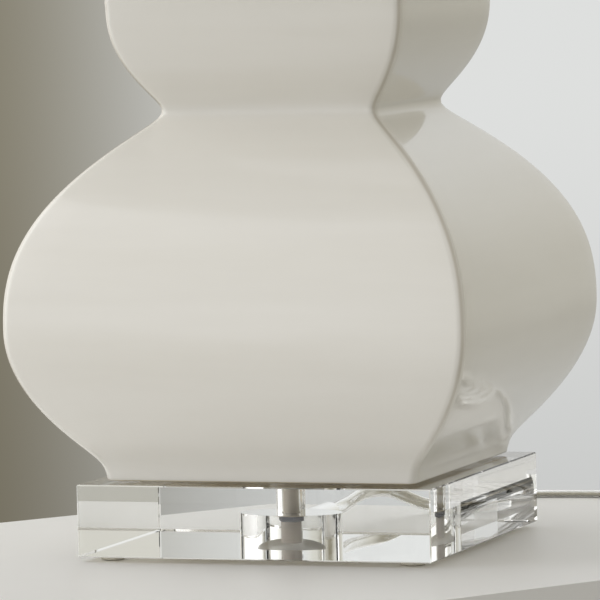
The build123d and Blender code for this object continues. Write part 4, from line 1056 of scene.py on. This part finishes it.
class GOURD_OT_shade(bpy.types.Operator):
    """Roll the linen shade on its liner and wire rings"""

    bl_idname = "gourd_lamp.shade"
    bl_label = "Roll the Shade"

    def execute(self, context):
        settings = context.scene.gourd_shade
        linen = linen_material("linen", settings)
        bottom = SHADE_HIGH.x
        top = bottom - SHADE_TAPER
        height = SHADE_HIGH.z - SHADE_LOW.z
        slant = sqrt(height**2 + (bottom - top) ** 2)
        around = pi * (bottom + top)
        cut_length = around + settings.lap
        lap_ease = 0.01
        mesh = bmesh.new()
        bmesh.ops.create_grid(mesh, x_segments=200, y_segments=16, size=0.5)
        cut = mesh.loops.layers.uv.new("cut")
        for face in mesh.faces:
            for loop in face.loops:
                loop[cut].uv = ((loop.vert.co.x + 0.5) * cut_length, (loop.vert.co.y + 0.5) * slant)
        for point in mesh.verts:
            round_share = (point.co.x + 0.5) * (cut_length / around)
            up = point.co.y + 0.5
            angle = pi / 2 + 2 * pi * round_share
            lapped = max(0.0, min(1.0, (round_share - 1.0 + lap_ease) / lap_ease))
            radius = bottom + (top - bottom) * up - LINEN_THICK + LINEN_THICK * lapped
            point.co = (radius * cos(angle), radius * sin(angle), SHADE_LOW.z + height * up)
        bmesh.ops.recalc_face_normals(mesh, faces=mesh.faces)
        cloth = new_piece(mesh, "linen_shade", "shade", linen, ("shade_linen",))
        wall = cloth.modifiers.new("wall", "SOLIDIFY")
        wall.thickness = LINEN_THICK
        wall.offset = 0.0
        trims = [self.make_trim(name, linen) for name in ("shade_top_trim", "shade_bottom_trim")]
        styrene = varied_material("styrene", (0.86, 0.85, 0.82), (0.82, 0.81, 0.77), 30.0, (0.45, 0.6))
        wire = varied_material("coated_wire", (0.80, 0.79, 0.76), (0.74, 0.73, 0.70), 200.0, (0.3, 0.45))
        dress(styrene, "shade_liner")
        dress(wire, "shade_bottom_ring", "shade_spider")
        return {"FINISHED"}

    def make_trim(self, node, linen):
        """Folded linen tape over one edge of the shade."""
        low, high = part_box(node)
        upper = node == "shade_top_trim"
        length = high.z - low.z
        lean = SHADE_TAPER / (SHADE_HIGH.z - SHADE_LOW.z)
        edge = high.z if upper else low.z
        inward = -1 if upper else 1
        out_edge = high.x - lean * length if upper else high.x
        thick = 0.0005
        gap = 0.0027
        inner_length = 0.0036
        # Distance from the shade's edge, and depth under the trim's outside
        section = (
            (length, thick),
            (length, 0.0),
            (length * 0.5, 0.0),
            (0.0012, 0.0),
            (0.0003, 0.0003),
            (0.0, 0.0010),
            (0.0, gap - 0.0007),
            (0.0003, gap - 0.0001),
            (0.0012, gap + 0.0002),
            (inner_length, gap + 0.0002),
            (inner_length, gap - 0.0003),
            (0.0014, gap - 0.0003),
            (0.0007, gap - 0.0007),
            (0.0007, thick + 0.0002),
            (0.0014, thick),
            (length * 0.5, thick),
        )
        profile = [
            (out_edge - inward * lean * along - across, 0, edge + inward * along) for along, across in section
        ]
        mesh = spun(profile + profile[:1], steps=160)
        cut = mesh.loops.layers.uv.new("cut")
        for face in mesh.faces:
            middle = face.calc_center_median().xy
            base = Vector((1, 0)).angle_signed(middle)
            for loop in face.loops:
                spot = loop.vert.co
                turn = base + middle.angle_signed(spot.xy)
                loop[cut].uv = (turn * out_edge, spot.z + spot.xy.length - out_edge)
        name = node.replace("shade_", "linen_")
        return new_piece(mesh, name, "shade", linen, (node,), radians(50))


class GOURD_OT_finial(bpy.types.Operator):
    """Turn the clear ball of the finial"""

    bl_idname = "gourd_lamp.finial"
    bl_label = "Turn the Finial"

    def execute(self, context):
        radius = (BALL_HIGH.x - BALL_LOW.x) / 2
        mesh = bmesh.new()
        centre = Matrix.Translation((0, 0, BALL_HIGH.z - radius))
        bmesh.ops.create_uvsphere(mesh, u_segments=64, v_segments=40, radius=radius, matrix=centre)
        cut = bmesh.ops.bisect_plane(
            mesh,
            geom=mesh.verts[:] + mesh.edges[:] + mesh.faces[:],
            plane_co=(0, 0, BALL_LOW.z),
            plane_no=(0, 0, 1),
            clear_inner=True,
        )["geom_cut"]
        bmesh.ops.contextual_create(mesh, geom=edges_of(cut))
        clear = acrylic_material("clear_ball", (0.0, 0.006))
        new_piece(mesh, "clear_ball", "finial", clear, ("finial_ball",), radians(40))
        return {"FINISHED"}


class GOURD_OT_stage(bpy.types.Operator):
    """Lay the floor and fill the air with soft light"""

    bl_idname = "gourd_lamp.stage"
    bl_label = "Set the Stage"

    def execute(self, context):
        scene = context.scene
        settings = scene.gourd_stage
        scene.view_settings.view_transform = "Standard"
        mesh = bmesh.new()
        corners = [mesh.verts.new((x, y, FLOOR_LEVEL)) for x, y in FLOOR_CORNERS]
        bmesh.ops.contextual_create(mesh, geom=corners)
        made = bmesh.ops.extrude_face_region(mesh, geom=mesh.faces[:])["geom"]
        bmesh.ops.translate(mesh, verts=points_of(made), vec=(0, 0, -FLOOR_THICK))
        bmesh.ops.recalc_face_normals(mesh, faces=mesh.faces)
        data = bpy.data.meshes.new("floor")
        mesh.to_mesh(data)
        mesh.free()
        colour = settings.floor_colour[:3]
        deeper = tuple(0.97 * part for part in colour)
        data.materials.append(varied_material("pale_floor", colour, deeper, 5.0, (0.35, 0.5)))
        floor = bpy.data.objects.new("floor", data)
        scene.collection.objects.link(floor)
        scene.world = self.studio_air(scene.gourd_camera.azimuth, settings)
        return {"FINISHED"}

    def studio_air(self, azimuth, settings):
        """Light from all round: two plain walls behind, the air, the ceiling and a few soft lamps."""
        world = bpy.data.worlds.new("studio")
        world.use_nodes = True
        tree = world.node_tree
        heading = tree.nodes.new("ShaderNodeTexCoord").outputs["Generated"]

        def along(direction, low, high):
            """How far a heading leans to a direction, eased from 0 to 1."""
            values = {0: heading, 1: direction}
            lean = place(tree, "ShaderNodeVectorMath", values, operation="DOT_PRODUCT").outputs["Value"]
            return ranged(tree, lean, low, high, eased=True)

        up = (0, 0, 1)
        right = (cos(azimuth), sin(azimuth), 0.0)
        away = (-sin(azimuth), cos(azimuth), 0.0)
        air = mixed(tree, along(up, -0.1, 0.8), settings.air_colour, settings.ceiling_colour)
        air = mixed(tree, along(right, 0.35, 0.9), air, settings.right_colour)
        to_right = along(right, -0.062, 0.012)
        walls = mixed(tree, to_right, settings.left_wall_colour, settings.right_wall_colour)
        walls = mixed(tree, along(right, 0.25, 0.7), walls, settings.far_right_colour)
        dimmed = mixed(tree, 0.78, (0, 0, 0, 1), walls)
        walls = mixed(tree, along(up, -0.13, -0.03), dimmed, walls)
        air = mixed(tree, along(away, 0.2, 0.6), air, walls)
        for turn, rise, spread, strength in SOFT_LAMPS:
            turn, rise = radians(turn), radians(rise)
            centre = (sin(turn) * cos(rise), -cos(turn) * cos(rise), sin(rise))
            glow = along(centre, cos(radians(spread)), cos(radians(spread * 0.35)))
            values = {0: (strength,) * 3, "Scale": glow}
            lit = place(tree, "ShaderNodeVectorMath", values, operation="SCALE").outputs["Vector"]
            both = place(tree, "ShaderNodeVectorMath", {0: air, 1: lit}, operation="ADD")
            air = both.outputs["Vector"]
        background = tree.nodes["Background"]
        tree.links.new(air, background.inputs["Color"])
        background.inputs["Strength"].default_value = settings.air_strength
        return world


class GOURD_PT_panel(bpy.types.Panel):
    """Lists the lamp's pieces and settings"""

    bl_idname = "GOURD_PT_panel"
    bl_label = "Gourd Lamp"
    bl_space_type = "VIEW_3D"
    bl_region_type = "UI"
    bl_category = "Gourd Lamp"

    def draw(self, context):
        for operator in OPERATORS:
            self.layout.operator(operator.bl_idname)
        for name, group in SETTINGS:
            box = self.layout.box()
            for title in group.__annotations__:
                box.prop(getattr(context.scene, name), title)


SETTINGS = (
    ("gourd_camera", CameraSettings),
    ("gourd_glaze", GlazeSettings),
    ("gourd_shade", ShadeSettings),
    ("gourd_cord", CordSettings),
    ("gourd_stage", StageSettings),
)
OPERATORS = (
    GOURD_OT_camera,
    GOURD_OT_cord,
    GOURD_OT_body,
    GOURD_OT_block,
    GOURD_OT_metalwork,
    GOURD_OT_socket,
    GOURD_OT_bulb,
    GOURD_OT_shade,
    GOURD_OT_finial,
    GOURD_OT_stage,
)


def register():
    for name, group in SETTINGS:
        bpy.utils.register_class(group)
        setattr(bpy.types.Scene, name, PointerProperty(type=group))
    for operator in OPERATORS:
        bpy.utils.register_class(operator)
    bpy.utils.register_class(GOURD_PT_panel)


def unregister():
    bpy.utils.unregister_class(GOURD_PT_panel)
    for operator in reversed(OPERATORS):
        bpy.utils.unregister_class(operator)
    for name, group in reversed(SETTINGS):
        delattr(bpy.types.Scene, name)
        bpy.utils.unregister_class(group)


def main():
    register()
    bpy.ops.gourd_lamp.camera()
    bpy.ops.gourd_lamp.cord()
    bpy.ops.gourd_lamp.body()
    bpy.ops.gourd_lamp.block()
    bpy.ops.gourd_lamp.metalwork()
    bpy.ops.gourd_lamp.socket()
    bpy.ops.gourd_lamp.bulb()
    bpy.ops.gourd_lamp.shade()
    bpy.ops.gourd_lamp.finial()
    bpy.ops.gourd_lamp.stage()


if __name__ == "__main__":
    main()
